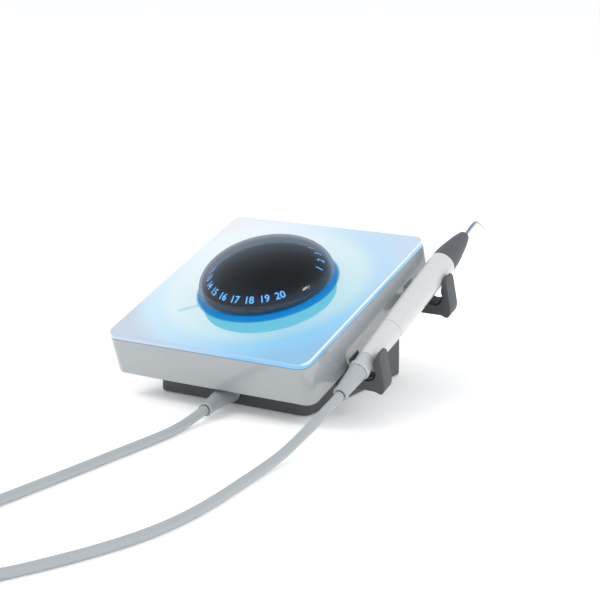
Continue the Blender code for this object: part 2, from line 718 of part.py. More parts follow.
def handpiece():
    turned(
        "front_barrel",
        [(4.0, CONE_SEAM), (10.2, CONE_SEAM), (10.45, CONE_SEAM - 0.6), (10.45, 77), (10.15, 58), (9.85, 34),
         (9.4, 8), (9.15, SEAM + 0.5), (9.0, SEAM + 0.15), (7.6, SEAM + 0.15), (8.0, 12), (8.0, 78), (4.0, 80)],
        HAND_WHITE, parent=HAND, ring=True,
    )
    turned(
        "rear_barrel",
        [(7.2, SEAM - 0.15), (9.0, SEAM - 0.15), (9.1, SEAM - 0.5), (8.6, -18), (8.0, -34), (7.6, -43.4),
         (6.2, -43.4), (6.2, -34), (7.2, -16)],
        HAND_WHITE, parent=HAND, ring=True,
    )
    turned(
        "nose_cone",
        [(2.8, NOSE), (3.3, NOSE), (4.3, NOSE - 1.2), (5.2, NOSE - 4.5), (6.6, NOSE - 10), (8.1, NOSE - 18.6),
         (9.3, NOSE - 26), (10.0, NOSE - 33), (10.35, CONE_SEAM + GAP), (4.0, CONE_SEAM + GAP), (4.0, NOSE - 12),
         (2.8, NOSE - 8)],
        CONE_GREY, parent=HAND, ring=True,
    )
    turned(
        "lamp_ring",
        ring_profile(5.2, 7.6, 70, 76),
        DIFFUSER, parent=HAND, ring=True,
    )
    turned(
        "transducer_horn",
        [(0, 112), (3.4, 112), (3.4, 80), (4.6, 68), (7.0, 60), (7.0, 52), (0, 52)],
        STEEL, parent=HAND,
    )
    for index in range(4):
        low = 46.6 - index * 5.4
        turned(f"piezo_ring_{index + 1}", ring_profile(2.6, 6.6, low, low + 5.0), CERAMIC, parent=HAND, ring=True)
    turned(
        "counter_mass",
        [(0, 51.7), (2.2, 51.7), (2.2, 29.9), (6.8, 29.9), (6.8, 14), (2.0, 12), (0, 12)],
        STEEL, parent=HAND,
    )
    turned(
        "rear_connector",
        [(0, 2), (4.8, 2), (4.8, -12), (5.8, -14), (5.8, -46), (0, -46)],
        BLACK_PLASTIC, parent=HAND,
    )
    turned(
        "hand_collar",
        [(6.1, -43.8), (7.5, -43.8), (7.5, -50.4), (7.7, -52.4), (8.1, -53.8), (8.1, -56.0), (7.6, -57.2),
         (6.1, -57.2)],
        CORD_GREY, parent=HAND, ring=True,
    )
    turned(
        "cord_boot_rear",
        [(3.9, -57.5), (7.2, -57.5), (7.0, -60), (6.3, -68), (5.4, -80.5), (5.3, -81.4), (5.6, -82.0),
         (5.6, -84.2), (5.2, -84.8), (3.9, -84.8)],
        CORD_GREY, parent=HAND, ring=True,
    )


TIP_KNOTS = ((0, 0.6, 112.3), (0, 0.7, 128.0), (0, 0.4, 138.0), (0, 1.0, 144.5), (0, 3.4, 148.6), (0, 8.0, 152.4),
             (0, 16.6, 158.4))


def scaling_tip():
    """The hooked steel tip, thinning towards its point."""
    route = smooth_route(TIP_KNOTS, 2.6)
    thin_from = 0.45
    scale = []
    for index in range(len(route)):
        along = index / (len(route) - 1)
        scale.append(1.0 if along < thin_from else 1.0 - 0.78 * (along - thin_from) / (1 - thin_from))
    tube("scaling_tip", route, 1.55, STEEL, parent=HAND, resolution=3, thickness_scale=scale)


# ---------------------------------------------------------------- cord

LIE = FLOOR + CORD_RADIUS  # height of the cord's centre where it lies on the table
COIL_CENTRE, COIL_RADIUS = (30.0, -455.0), 40.0
COIL_WIDTH, COIL_HEIGHT = 3 * 2 * CORD_RADIUS, 14.0
FRONT_ROUTE = (
    (6.46, -116.0, 6.77), (7.4, -126.0, 5.6), (8.3, -143.4, 3.4), (9.4, -164.0, LIE), (9.3, -182.5, LIE),
    (8.0, -215.5, LIE), (6.9, -247.2, LIE), (5.7, -277.5, LIE), (4.4, -305.4, LIE), (2.5, -336.0, LIE),
    (-3.0, -368.0, LIE), (-9.5, -396.0, LIE), (-13.8, -421.0, LIE),
)
HAND_ROUTE = (
    (107.0, -90.7, 27.4), (107.0, -98.0, 24.3), (107.0, -111.0, 20.2), (107.1, -124.7, 15.5),
    (107.2, -146.0, 9.6), (108.6, -169.0, 5.2), (111.0, -199.5, 3.0), (114.4, -229.7, LIE),
    (118.0, -259.9, LIE), (120.0, -295.0, LIE), (117.5, -330.0, LIE), (109.5, -365.0, LIE),
    (98.0, -398.0, LIE), (87.5, -422.0, LIE), (82.4, -437.0, 4.6),
)


def cord():
    """The handpiece's cord: two free stretches and, between them, the rest of it in a coil."""
    tube("cord_front", smooth_route(FRONT_ROUTE, 16.0), CORD_RADIUS, CORD_GREY)
    tube("cord_hand", smooth_route(HAND_ROUTE, 16.0), CORD_RADIUS, CORD_GREY)
    inner, outer = COIL_RADIUS - COIL_WIDTH / 2, COIL_RADIUS + COIL_WIDTH / 2
    turned(
        "cord_coil",
        ring_profile(inner, outer, FLOOR, FLOOR + COIL_HEIGHT),
        CORD_GREY, location=(*COIL_CENTRE, 0), steps=40, ring=True,
    )


# ---------------------------------------------------------------- the whole object

ROCKER_ON = 8.0  # degrees that the switch leans when it is on

DECK = empty("deck", DECK_CENTRE, (TILT, 0, 0))
HAND = empty("handpiece_axis", HAND_ORIGIN, (HAND_RISE - 90, 0, 0))

base_shell()
base_cover()
front_cord_exit()
power_stage()
water_circuit()
rear_panel()
casing_tray()
deck_layers()
knob()
cradle("cradle_front", CRADLE_FRONT, -17.2)
cradle("cradle_rear", CRADLE_REAR, -19.5)
saddle("saddle_front", CRADLE_FRONT)
saddle("saddle_rear", CRADLE_REAR)
handpiece()
scaling_tip()
cord()
bpy.context.view_layer.update()
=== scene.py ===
"""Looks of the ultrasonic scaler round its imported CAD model: camera, cord, surfaces and detailed shapes."""

import json
import math

import bmesh
import bpy
from mathutils import Euler, Matrix, Vector


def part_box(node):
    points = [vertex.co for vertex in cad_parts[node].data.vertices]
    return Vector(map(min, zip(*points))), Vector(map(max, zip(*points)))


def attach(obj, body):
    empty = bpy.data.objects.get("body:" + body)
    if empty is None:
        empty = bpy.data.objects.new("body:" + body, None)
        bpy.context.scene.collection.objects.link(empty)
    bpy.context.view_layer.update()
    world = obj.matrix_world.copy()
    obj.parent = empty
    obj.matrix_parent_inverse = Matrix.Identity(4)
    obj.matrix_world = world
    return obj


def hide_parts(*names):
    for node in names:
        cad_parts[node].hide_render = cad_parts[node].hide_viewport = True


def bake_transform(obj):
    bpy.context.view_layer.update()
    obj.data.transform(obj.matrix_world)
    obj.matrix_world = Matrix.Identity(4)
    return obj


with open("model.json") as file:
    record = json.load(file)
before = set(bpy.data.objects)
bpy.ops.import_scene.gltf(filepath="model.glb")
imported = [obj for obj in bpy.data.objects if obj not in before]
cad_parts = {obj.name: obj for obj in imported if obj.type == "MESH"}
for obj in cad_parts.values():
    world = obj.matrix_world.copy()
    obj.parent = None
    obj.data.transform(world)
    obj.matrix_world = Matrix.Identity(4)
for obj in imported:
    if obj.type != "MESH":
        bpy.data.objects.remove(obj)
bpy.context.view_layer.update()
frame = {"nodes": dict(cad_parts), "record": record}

MM = 0.001
CONSOLE, KNOB, ROCKER, WATER, HAND_BODY = "console", "knob", "power_rocker", "water_knob", "handpiece"
JOINTS = {joint["name"]: joint for joint in frame["record"]["behaviour"]["joints"]}


# ---------------------------------------------------------------- frames of reference

def axes_at(origin, z_axis):
    """A frame with its x along world X and its z along the given direction."""
    z_axis = Vector(z_axis).normalized()
    x_axis = Vector((1, 0, 0))
    y_axis = z_axis.cross(x_axis)
    return Matrix.Translation(origin) @ Matrix((x_axis, y_axis, z_axis)).transposed().to_4x4()


def centre(node):
    low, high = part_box(node)
    return (Vector(low) + Vector(high)) / 2


DECK = axes_at(JOINTS["knob_turn"]["pos_m"], JOINTS["knob_turn"]["axis"])
LAST_PIEZO_AT = 32.9
hand_direction = (centre("lamp_ring") - centre("piezo_ring_4")).normalized()
HAND = axes_at(centre("piezo_ring_4") - hand_direction * LAST_PIEZO_AT * MM, hand_direction)
WORLD = Matrix.Identity(4)


def turned_at(origin_mm, rotation_deg, parent=WORLD):
    turn = Euler([math.radians(a) for a in rotation_deg]).to_matrix().to_4x4()
    return parent @ Matrix.Translation(Vector(origin_mm) * MM) @ turn


# ---------------------------------------------------------------- camera, light and floor

def camera():
    data = bpy.data.cameras.new("camera")
    data.sensor_width = 36.0
    data.lens = 101.47
    data.clip_end = 50.0
    item = bpy.data.objects.new("camera", data)
    right, up, back = (0.8455, 0.5341, 0.0), (-0.1211, 0.1917, 0.9741), (0.5202, -0.8235, 0.2267)
    turn = Matrix((right, up, back)).transposed()
    item.matrix_world = Matrix.Translation((0.7025, -1.0865, 0.3672)) @ turn.to_4x4()
    bpy.context.collection.objects.link(item)
    bpy.context.scene.camera = item


def area_light(name, place, target, size, power, mirrored=False):
    data = bpy.data.lights.new(name, "AREA")
    data.shape = "RECTANGLE"
    data.size, data.size_y = size
    data.energy = power
    item = bpy.data.objects.new(name, data)
    item.location = place
    item.rotation_euler = (Vector(target) - Vector(place)).to_track_quat("-Z", "Y").to_euler()
    item.visible_glossy = mirrored
    bpy.context.collection.objects.link(item)


def studio():
    world = bpy.data.worlds.new("studio")
    bpy.context.scene.world = world
    world.use_nodes = True
    nodes, links = world.node_tree.nodes, world.node_tree.links
    background = nodes["Background"]
    path = nodes.new("ShaderNodeLightPath")
    where = nodes.new("ShaderNodeTexCoord")
    split = nodes.new("ShaderNodeSeparateXYZ")
    links.new(where.outputs["Generated"], split.inputs[0])
    sky = nodes.new("ShaderNodeValToRGB")
    sky.color_ramp.elements[0].position = 0.0
    sky.color_ramp.elements[0].color = (0.85, 0.87, 0.9, 1)
    sky.color_ramp.elements[1].position = 1.0
    sky.color_ramp.elements[1].color = (0.36, 0.39, 0.42, 1)
    for position, level in ((0.34, 0.86), (0.6, 0.6), (0.8, 0.46), (0.92, 0.36)):
        stop = sky.color_ramp.elements.new(position)
        stop.color = (level, level * 1.16, level * 1.34, 1)
    links.new(split.outputs["Z"], sky.inputs[0])
    pick = nodes.new("ShaderNodeMix")
    pick.data_type = "RGBA"
    pick.inputs["A"].default_value = (0.86, 0.87, 0.88, 1)
    links.new(path.outputs["Is Glossy Ray"], pick.inputs["Factor"])
    links.new(sky.outputs["Color"], pick.inputs["B"])
    show = nodes.new("ShaderNodeMix")
    show.data_type = "RGBA"
    show.inputs["B"].default_value = (1.0, 1.0, 1.0, 1)
    links.new(path.outputs["Is Camera Ray"], show.inputs["Factor"])
    links.new(pick.outputs["Result"], show.inputs["A"])
    links.new(show.outputs["Result"], background.inputs["Color"])
    background.inputs["Strength"].default_value = 1.0
    area_light("key", (-0.9, -0.9, 1.5), (0, -0.05, 0.05), (1.0, 1.0), 13.0)
    area_light("fill", (1.3, -0.4, 0.9), (0, 0, 0.05), (0.8, 0.8), 4.0)
    area_light("sparkle", (1.51, 0.03, 0.95), (0.046, -0.042, 0.087), (0.34, 0.22), 3.0, mirrored=True)
    bpy.context.scene.view_settings.view_transform = "Standard"


def floor():
    mesh = bpy.data.meshes.new("floor")
    half, level = 6.0, -1.0 * MM
    corners = [(-half, -half, level), (half, -half, level), (half, half, level), (-half, half, level)]
    mesh.from_pydata(corners, [], [(0, 1, 2, 3)])
    item = bpy.data.objects.new("floor", mesh)
    bpy.context.collection.objects.link(item)
    look, _, _, shader = fresh("floor_paper")
    values(shader, {
        "Base Color": (0.97, 0.97, 0.97, 1), "Roughness": 0.9, "Specular IOR Level": 0.1,
        "Emission Color": (1.0, 1.0, 1.0, 1), "Emission Strength": 0.16,
    })
    mesh.materials.append(look)


# ---------------------------------------------------------------- materials

def srgb(red, green, blue):
    def linear(level):
        level /= 255
        return level / 12.92 if level <= 0.04045 else ((level + 0.055) / 1.055) ** 2.4

    return (linear(red), linear(green), linear(blue), 1.0)


def scaled(colour, factor):
    return (*(min(1.0, c * factor) for c in colour[:3]), 1.0)


def values(node, settings):
    for name, value in settings.items():
        node.inputs[name].default_value = value


def fresh(name):
    look = bpy.data.materials.new(name)
    look.use_nodes = True
    tree = look.node_tree
    return look, tree.nodes, tree.links, tree.nodes["Principled BSDF"]


def math_node(nodes, links, operation, first, second=None, third=None):
    node = nodes.new("ShaderNodeMath")
    node.operation = operation
    for slot, value in zip(node.inputs, (first, second, third)):
        if value is None:
            continue
        if isinstance(value, (int, float)):
            slot.default_value = value
        else:
            links.new(value, slot)
    return node.outputs[0]


def step_node(nodes, links, value, low, high):
    """0 below low, 1 above high and smooth between; or the other way round when high is below low."""
    node = nodes.new("ShaderNodeMapRange")
    node.interpolation_type = "SMOOTHSTEP"
    rising = low < high
    values(node, {
        "From Min": min(low, high), "From Max": max(low, high), "To Min": 0.0 if rising else 1.0,
        "To Max": 1.0 if rising else 0.0,
    })
    links.new(value, node.inputs["Value"])
    return node.outputs["Result"]


def mix_node(nodes, links, factor, first, second):
    node = nodes.new("ShaderNodeMix")
    node.data_type = "RGBA"
    if isinstance(factor, (int, float)):
        node.inputs["Factor"].default_value = factor
    else:
        links.new(factor, node.inputs["Factor"])
    for slot, value in ((node.inputs["A"], first), (node.inputs["B"], second)):
        if isinstance(value, tuple):
            slot.default_value = value
        else:
            links.new(value, slot)
    return node.outputs["Result"]


def noise_node(nodes, links, where, size_mm, detail=3.0, rough=0.5, stretch=None):
    if stretch:
        mapping = nodes.new("ShaderNodeMapping")
        mapping.inputs["Scale"].default_value = stretch
        links.new(where, mapping.inputs["Vector"])
        where = mapping.outputs["Vector"]
    node = nodes.new("ShaderNodeTexNoise")
    values(node, {"Scale": 1.0 / (size_mm * MM), "Detail": detail, "Roughness": rough})
    links.new(where, node.inputs["Vector"])
    return node.outputs["Fac"]


def object_point(nodes):
    return nodes.new("ShaderNodeTexCoord").outputs["Object"]


def uneven_polish(nodes, links, shader, value, low, high):
    """Roughness that follows the value between two levels."""
    spread = nodes.new("ShaderNodeMapRange")
    values(spread, {"To Min": low, "To Max": high})
    links.new(value, spread.inputs["Value"])
    links.new(spread.outputs["Result"], shader.inputs["Roughness"])


def relief(nodes, links, shader, value, depth_mm, strength=1.0):
    bump = nodes.new("ShaderNodeBump")
    values(bump, {"Strength": strength, "Distance": depth_mm * MM})
    links.new(value, bump.inputs["Height"])
    links.new(bump.outputs["Normal"], shader.inputs["Normal"])


def surface(
    name, colour, rough, metal=0.0, mottle=0.05, mottle_mm=22.0, grain_mm=0.6, grain_depth=0.02,
    rough_spread=0.08, coat=0.0, coat_rough=0.08, stretch=None, specular=0.5, subsurface=0.0,
):
    """A surface with slow colour variation, a fine grain in its relief and an uneven polish."""
    look, nodes, links, shader = fresh(name)
    where = object_point(nodes)
    slow = noise_node(nodes, links, where, mottle_mm, 2.0, 0.5)
    fine = noise_node(nodes, links, where, grain_mm, 4.0, 0.6, stretch)
    shade = mix_node(nodes, links, slow, scaled(colour, 1 - mottle), scaled(colour, 1 + mottle))
    specks = math_node(nodes, links, "MULTIPLY", fine, 0.12)
    shade = mix_node(nodes, links, specks, shade, scaled(colour, 0.8))
    links.new(shade, shader.inputs["Base Color"])
    low, high = max(0.02, rough - rough_spread), min(1.0, rough + rough_spread)
    uneven_polish(nodes, links, shader, fine, low, high)
    relief(nodes, links, shader, fine, grain_depth, 0.5)
    values(shader, {
        "Metallic": metal, "Specular IOR Level": specular, "Coat Weight": coat,
        "Coat Roughness": coat_rough,
    })
    if subsurface:
        values(shader, {"Subsurface Weight": subsurface, "Subsurface Radius": (0.002, 0.002, 0.002)})
    return look


def lit_plate():
    """Translucent plate lit from below: pale round the dial, blue at the front and right, white behind."""
    look, nodes, links, shader = fresh("lit_plate")
    where = object_point(nodes)
    split = nodes.new("ShaderNodeSeparateXYZ")
    links.new(where, split.inputs[0])
    x, v, n = split.outputs
    flat = nodes.new("ShaderNodeCombineXYZ")
    links.new(x, flat.inputs[0])
    links.new(v, flat.inputs[1])

    def distance_from(point_mm, stretch=(1, 1)):
        shift = nodes.new("ShaderNodeVectorMath")
        shift.operation = "SUBTRACT"
        shift.inputs[1].default_value = (point_mm[0] * MM, point_mm[1] * MM, 0)
        links.new(flat.outputs[0], shift.inputs[0])
        size = nodes.new("ShaderNodeVectorMath")
        size.operation = "MULTIPLY"
        size.inputs[1].default_value = (*stretch, 1)
        links.new(shift.outputs[0], size.inputs[0])
        length = nodes.new("ShaderNodeVectorMath")
        length.operation = "LENGTH"
        links.new(size.outputs[0], length.inputs[0])
        return length.outputs["Value"]

    def near(point_mm, inner, outer, stretch=(1, 1)):
        return step_node(nodes, links, distance_from(point_mm, stretch), outer * MM, inner * MM)

    rightward = step_node(nodes, links, x, -74 * MM, 70 * MM)
    backward = step_node(nodes, links, v, -70 * MM, 62 * MM)

    def quarters(front_left, front_right, back_left, back_right):
        front = mix_node(nodes, links, rightward, srgb(*front_left), srgb(*front_right))
        back = mix_node(nodes, links, rightward, srgb(*back_left), srgb(*back_right))
        return mix_node(nodes, links, backward, front, back)

    ring = quarters((222, 240, 244), (168, 218, 236), (234, 247, 251), (211, 236, 241))
    halo = quarters((204, 232, 250), (136, 205, 243), (236, 246, 253), (190, 221, 245))
    corner = quarters((200, 211, 224), (141, 194, 233), (236, 239, 243), (199, 220, 242))
    colour = mix_node(nodes, links, near((0, 0), 90, 112), corner, halo)
    colour = mix_node(nodes, links, near((0, 0), 72, 90), colour, ring)
    # Painted shadow of the dial on the plate: a cyan disc offset to the front right, of which only a crescent
    # shows beside the dial.
    painted_dial_shadow = near((12.5, -16.5), 51.0, 51.7)
    colour = mix_node(nodes, links, painted_dial_shadow, colour, srgb(106, 200, 227))
    # Painted glow of the dial's blue ring on the plate: a saturated blue band just outside the dial's cover.
    painted_ring_glow = near((0, 0), 54.6, 57.4)
    colour = mix_node(nodes, links, painted_ring_glow, colour, srgb(8, 128, 190))
    side = step_node(nodes, links, n, 3.0 * MM, 2.7 * MM)
    side_tint = mix_node(nodes, links, rightward, srgb(200, 217, 238), srgb(132, 203, 246))
    colour = mix_node(nodes, links, side, colour, side_tint)
    # The round top edge is tinted light blue along the front and painted with a near-white highlight along
    # the right edge.
    lip = math_node(
        nodes, links, "MULTIPLY", step_node(nodes, links, n, 3.0 * MM, 3.4 * MM),
        step_node(nodes, links, n, 4.64 * MM, 4.5 * MM),
    )
    lip_front = mix_node(nodes, links, rightward, srgb(196, 212, 238), srgb(158, 210, 246))
    at_right = step_node(nodes, links, x, 84 * MM, 88 * MM)
    edge_tint_and_highlight = mix_node(nodes, links, at_right, lip_front, srgb(240, 248, 254))
    colour = mix_node(nodes, links, lip, colour, edge_tint_and_highlight)
    cloud = noise_node(nodes, links, where, 30.0, 2.0)
    colour = mix_node(nodes, links, math_node(nodes, links, "MULTIPLY", cloud, 0.04), colour, (1, 1, 1, 1))
    links.new(colour, shader.inputs["Emission Color"])
    shader.inputs["Emission Strength"].default_value = 0.80
    darker = mix_node(nodes, links, 0.86, colour, (0, 0, 0, 1))
    links.new(darker, shader.inputs["Base Color"])
    fine = noise_node(nodes, links, where, 1.5, 2.0)
    uneven_polish(nodes, links, shader, fine, 0.08, 0.16)
    return look


def glowing(name, colour, strength, dark=0.1):
    look, nodes, links, shader = fresh(name)
    where = object_point(nodes)
    cloud = noise_node(nodes, links, where, 4.0, 2.0)
    tint = mix_node(nodes, links, cloud, scaled(colour, 0.92), scaled(colour, 1.08))
    links.new(tint, shader.inputs["Emission Color"])
    values(shader, {"Emission Strength": strength, "Base Color": scaled(colour, dark), "Roughness": 0.4})
    return look


def smoked_cover():
    """Smoked acrylic with a hard gloss, its foot glowing where the ring below shines up into it."""
    look, nodes, links, shader = fresh("smoked_cover")
    where = object_point(nodes)
    split = nodes.new("ShaderNodeSeparateXYZ")
    links.new(where, split.inputs[0])
    height = split.outputs["Z"]
    cloud = noise_node(nodes, links, where, 14.0, 2.0)
    # Painted glow of the ring's light in the cover: a bluer base colour and strong blue emission at the foot,
    # and a fainter blue emission fading out by 19 mm up.
    uneven = math_node(nodes, links, "MULTIPLY_ADD", cloud, 0.3, 0.85)
    foot = math_node(nodes, links, "MULTIPLY", step_node(nodes, links, height, 8.3 * MM, 7.3 * MM), uneven)
    lift = math_node(nodes, links, "MULTIPLY", step_node(nodes, links, height, 19.0 * MM, 8.0 * MM), uneven)
    smoke = mix_node(nodes, links, cloud, srgb(150, 155, 163), srgb(156, 161, 169))
    facing = nodes.new("ShaderNodeLayerWeight")
    facing.inputs["Blend"].default_value = 0.5
    long_way = step_node(nodes, links, facing.outputs["Facing"], 0.5, 0.8)
    smoke = mix_node(nodes, links, long_way, smoke, srgb(62, 66, 74))
    tint = mix_node(nodes, links, foot, smoke, srgb(40, 96, 140))
    links.new(tint, shader.inputs["Base Color"])
    painted_glow_above_foot = mix_node(nodes, links, lift, (0, 0, 0, 1), srgb(0, 34, 58))
    painted_ring_glow = mix_node(nodes, links, foot, painted_glow_above_foot, srgb(0, 112, 172))
    links.new(painted_ring_glow, shader.inputs["Emission Color"])
    values(shader, {"Emission Strength": 1.0, "Transmission Weight": 1.0, "IOR": 1.06, "Roughness": 0.02})
    fade = step_node(nodes, links, facing.outputs["Facing"], 0.98, 0.55)
    inside = nodes.new("ShaderNodeNewGeometry").outputs["Backfacing"]
    gloss = math_node(nodes, links, "MULTIPLY_ADD", fade, 0.86, 0.14)
    gloss = math_node(nodes, links, "MULTIPLY", gloss, math_node(nodes, links, "SUBTRACT", 1.0, inside))
    links.new(gloss, shader.inputs["Coat Weight"])
    shader.inputs["Coat Roughness"].default_value = 0.13
    return look


def circuit_board():
    look, nodes, links, shader = fresh("circuit_board_green")
    where = object_point(nodes)
    cells = nodes.new("ShaderNodeTexBrick")
    values(cells, {
        "Scale": 1 / (14 * MM), "Color1": (0.01, 0.13, 0.05, 1), "Color2": (0.012, 0.16, 0.06, 1),
        "Mortar": (0.03, 0.24, 0.10, 1), "Mortar Size": 0.04,
    })
    links.new(where, cells.inputs["Vector"])
    links.new(cells.outputs["Color"], shader.inputs["Base Color"])
    relief(nodes, links, shader, noise_node(nodes, links, where, 0.8), 0.02)
    shader.inputs["Roughness"].default_value = 0.35
    return look


LOOKS = {
    "case_grey": surface(
        "casing_plastic", srgb(156, 161, 163), 0.3, mottle=0.02, grain_mm=0.8, grain_depth=0.002,
        rough_spread=0.04, coat=1.0, coat_rough=0.04,
    ),
    "plate_white": lit_plate(),
    "dark_grey": surface("base_plastic", srgb(74, 78, 81), 0.55, grain_mm=0.45, grain_depth=0.05),
    "cradle_grey": surface("cradle_plastic", srgb(72, 76, 79), 0.5, grain_mm=0.45, grain_depth=0.05),
    "smoked_clear": smoked_cover(),
    "knob_black": surface(
        "core_black", srgb(24, 26, 29), 0.5, mottle=0.06, grain_mm=14.0, grain_depth=0.0005, specular=0.2
    ),
    "lit_blue": glowing("ring_blue", srgb(0, 132, 205), 0.6),
    "rubber_black": surface(
        "rubber_black", srgb(50, 54, 57), 0.75, grain_mm=0.5, grain_depth=0.06, specular=0.3
    ),
    "steel": surface(
        "tip_steel", srgb(186, 198, 208), 0.2, metal=1.0, grain_mm=0.25, grain_depth=0.004, rough_spread=0.07
    ),
    "brass": surface("turned_brass", srgb(200, 165, 95), 0.28, metal=1.0, grain_mm=0.3, grain_depth=0.01),
    "aluminium": surface(
        "extruded_aluminium", srgb(196, 198, 202), 0.4, metal=1.0, grain_mm=0.4, grain_depth=0.01,
        stretch=(1, 0.05, 1),
    ),
    "circuit_board": circuit_board(),
    "diffuser_white": surface("milky_plastic", srgb(228, 233, 236), 0.55, grain_mm=0.8, subsurface=0.2),
    "handpiece_white": surface(
        "handpiece_plastic", srgb(201, 202, 201), 0.3, mottle=0.012, grain_mm=0.5, grain_depth=0.003,
        rough_spread=0.05, coat=0.8, coat_rough=0.08,
    ),
    "cone_grey": surface("cone_soft_grey", srgb(86, 88, 90), 0.55, grain_mm=0.4, grain_depth=0.03),
    "collar_grey": surface(
        "collar_plastic", srgb(178, 182, 183), 0.3, mottle=0.012, grain_mm=0.5, grain_depth=0.003,
        rough_spread=0.05, coat=0.6, coat_rough=0.08,
    ),
    "cord_grey": surface(
        "cord_silicone", srgb(162, 168, 171), 0.38, mottle=0.03, grain_mm=0.9, grain_depth=0.02,
        subsurface=0.05,
    ),
    "ceramic": surface("piezo_ceramic", srgb(224, 218, 196), 0.45, grain_mm=0.5),
    "black_plastic": surface("black_plastic", srgb(38, 39, 42), 0.42, grain_mm=0.5, grain_depth=0.03),
    "copper": surface(
        "copper_winding", srgb(190, 112, 70), 0.35, metal=1.0, grain_mm=0.7, grain_depth=0.12,
        stretch=(0.05, 1, 1),
    ),
}


def dress_cad_nodes():
    slots = {part["node"]: part["material_slot"] for part in frame["record"]["subparts"]}
    for name, node in frame["nodes"].items():
        look = LOOKS[slots[name]]
        for place in node.material_slots:
            place.material = look


# ---------------------------------------------------------------- shapes

def mesh_of(name, vertices_mm, faces):
    mesh = bpy.data.meshes.new(name)
    mesh.from_pydata([Vector(v) * MM for v in vertices_mm], [], faces)
    return mesh


def turn_faces_out(mesh):
    work = bmesh.new()
    work.from_mesh(mesh)
    bmesh.ops.recalc_face_normals(work, faces=work.faces)
    work.to_mesh(mesh)
    work.free()


def placed(name, mesh, matrix):
    item = bpy.data.objects.new(name, mesh)
    bpy.context.collection.objects.link(item)
    item.matrix_world = matrix
    return item


def made(name, vertices_mm, faces, look, body, matrix=WORLD, **more):
    return finished(name, mesh_of(name, vertices_mm, faces), look, body, matrix, **more)


def from_worked(name, item, look, body, **more):
    """A finished piece from a worked one, in the same place."""
    mesh, matrix = item.data, item.matrix_world.copy()
    bpy.data.objects.remove(item, do_unlink=True)
    return finished(name, mesh, look, body, matrix, **more)


def finished(name, mesh, look, body, matrix=WORLD, slot=None, replaces=(), sharp=40.0):
    turn_faces_out(mesh)
    mesh.shade_smooth()
    mesh.set_sharp_from_angle(angle=math.radians(sharp))
    mesh.materials.clear()
    mesh.materials.append(LOOKS[look] if isinstance(look, str) else look)
    item = placed(name, mesh, matrix)
    if body:
        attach(item, body)
    if replaces:
        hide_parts(*replaces)
    return item


def loft(loops, close=False, caps=True):
    """Vertices and faces of a skin over loops of equally many points."""
    count = len(loops[0])
    vertices = [point for loop in loops for point in loop]
    faces = []
    rows = range(len(loops) if close else len(loops) - 1)
    for row in rows:
        low, high = row * count, ((row + 1) % len(loops)) * count
        for index in range(count):
            after = (index + 1) % count
            faces.append((low + index, low + after, high + after, high + index))
    if caps and not close:
        faces.append(tuple(range(count))[::-1])
        faces.append(tuple(range(len(vertices) - count, len(vertices))))
    return vertices, faces


SMOOTH_TURN = math.radians(14)  # a line that bends less than this at a point is already a smooth curve


def filleted(points, radius, steps=3, closed=False):
    """The same line with each corner cut to a small round; radius may be a number or one for each point."""
    radii = radius if isinstance(radius, (list, tuple)) else [radius] * len(points)
    result = []
    count = len(points)
    for index, point in enumerate(points):
        corner = Vector(point)
        if not closed and index in (0, count - 1):
            result.append(corner)
            continue
        before, after = Vector(points[index - 1]), Vector(points[(index + 1) % count])
        reach_before = min(radii[index], (before - corner).length * 0.48)
        reach_after = min(radii[index], (after - corner).length * 0.48)
        if reach_before < 1e-4 or reach_after < 1e-4 or (corner - before).angle(after - corner) < SMOOTH_TURN:
            result.append(corner)
            continue
        start = corner + (before - corner).normalized() * reach_before
        end = corner + (after - corner).normalized() * reach_after
        for step in range(steps + 1):
            t = step / steps
            result.append(start * (1 - t) ** 2 + corner * 2 * t * (1 - t) + end * t * t)
    return result


def lathe(name, profile, look, body, matrix, ring=False, segments=96, fillet=0.35, **more):
    """A turned piece: its profile's corners are rounded a little, then it is swept about z."""
    line = filleted(profile, fillet, 3, ring)
    vertices, faces, rows = [], [], []
    for radius, height in line:
        if radius < 1e-4:
            rows.append([len(vertices)])
            vertices.append((0, 0, height))
            continue
        rows.append(list(range(len(vertices), len(vertices) + segments)))
        for index in range(segments):
            turn = 2 * math.pi * index / segments
            vertices.append((radius * math.cos(turn), radius * math.sin(turn), height))
    pairs = list(zip(rows, rows[1:])) + ([(rows[-1], rows[0])] if ring else [])
    for first, second in pairs:
        for index in range(segments):
            after = (index + 1) % segments
            if len(first) == 1 and len(second) == 1:
                continue
            if len(first) == 1:
                faces.append((first[0], second[after], second[index]))
            elif len(second) == 1:
                faces.append((first[index], first[after], second[0]))
            else:
                faces.append((first[index], first[after], second[after], second[index]))
    return made(name, vertices, faces, look, body, matrix, **more)


def round_rectangle(width, depth, radius, height, steps=10):
    points = []
    for x_side, y_side, start in ((1, 1, 0), (-1, 1, 90), (-1, -1, 180), (1, -1, 270)):
        for step in range(steps + 1):
            turn = math.radians(start + 90 * step / steps)
            points.append(
                (
                    x_side * (width / 2 - radius) + radius * math.cos(turn),
                    y_side * (depth / 2 - radius) + radius * math.sin(turn),
                    height,
                )
            )
    return points


def wall_loops(width, depth, corner, section):
    """Rounded rectangles along section, a line of (inset, height) points."""
    return [
        round_rectangle(width - 2 * inset, depth - 2 * inset, max(corner - inset, 0.6), height)
        for inset, height in section
    ]


def apply_changes(item):
    """Makes the result of the piece's modifiers its own mesh."""
    bpy.context.view_layer.update()
    evaluated = item.evaluated_get(bpy.context.evaluated_depsgraph_get())
    mesh = bpy.data.meshes.new_from_object(evaluated)
    item.modifiers.clear()
    item.data = mesh


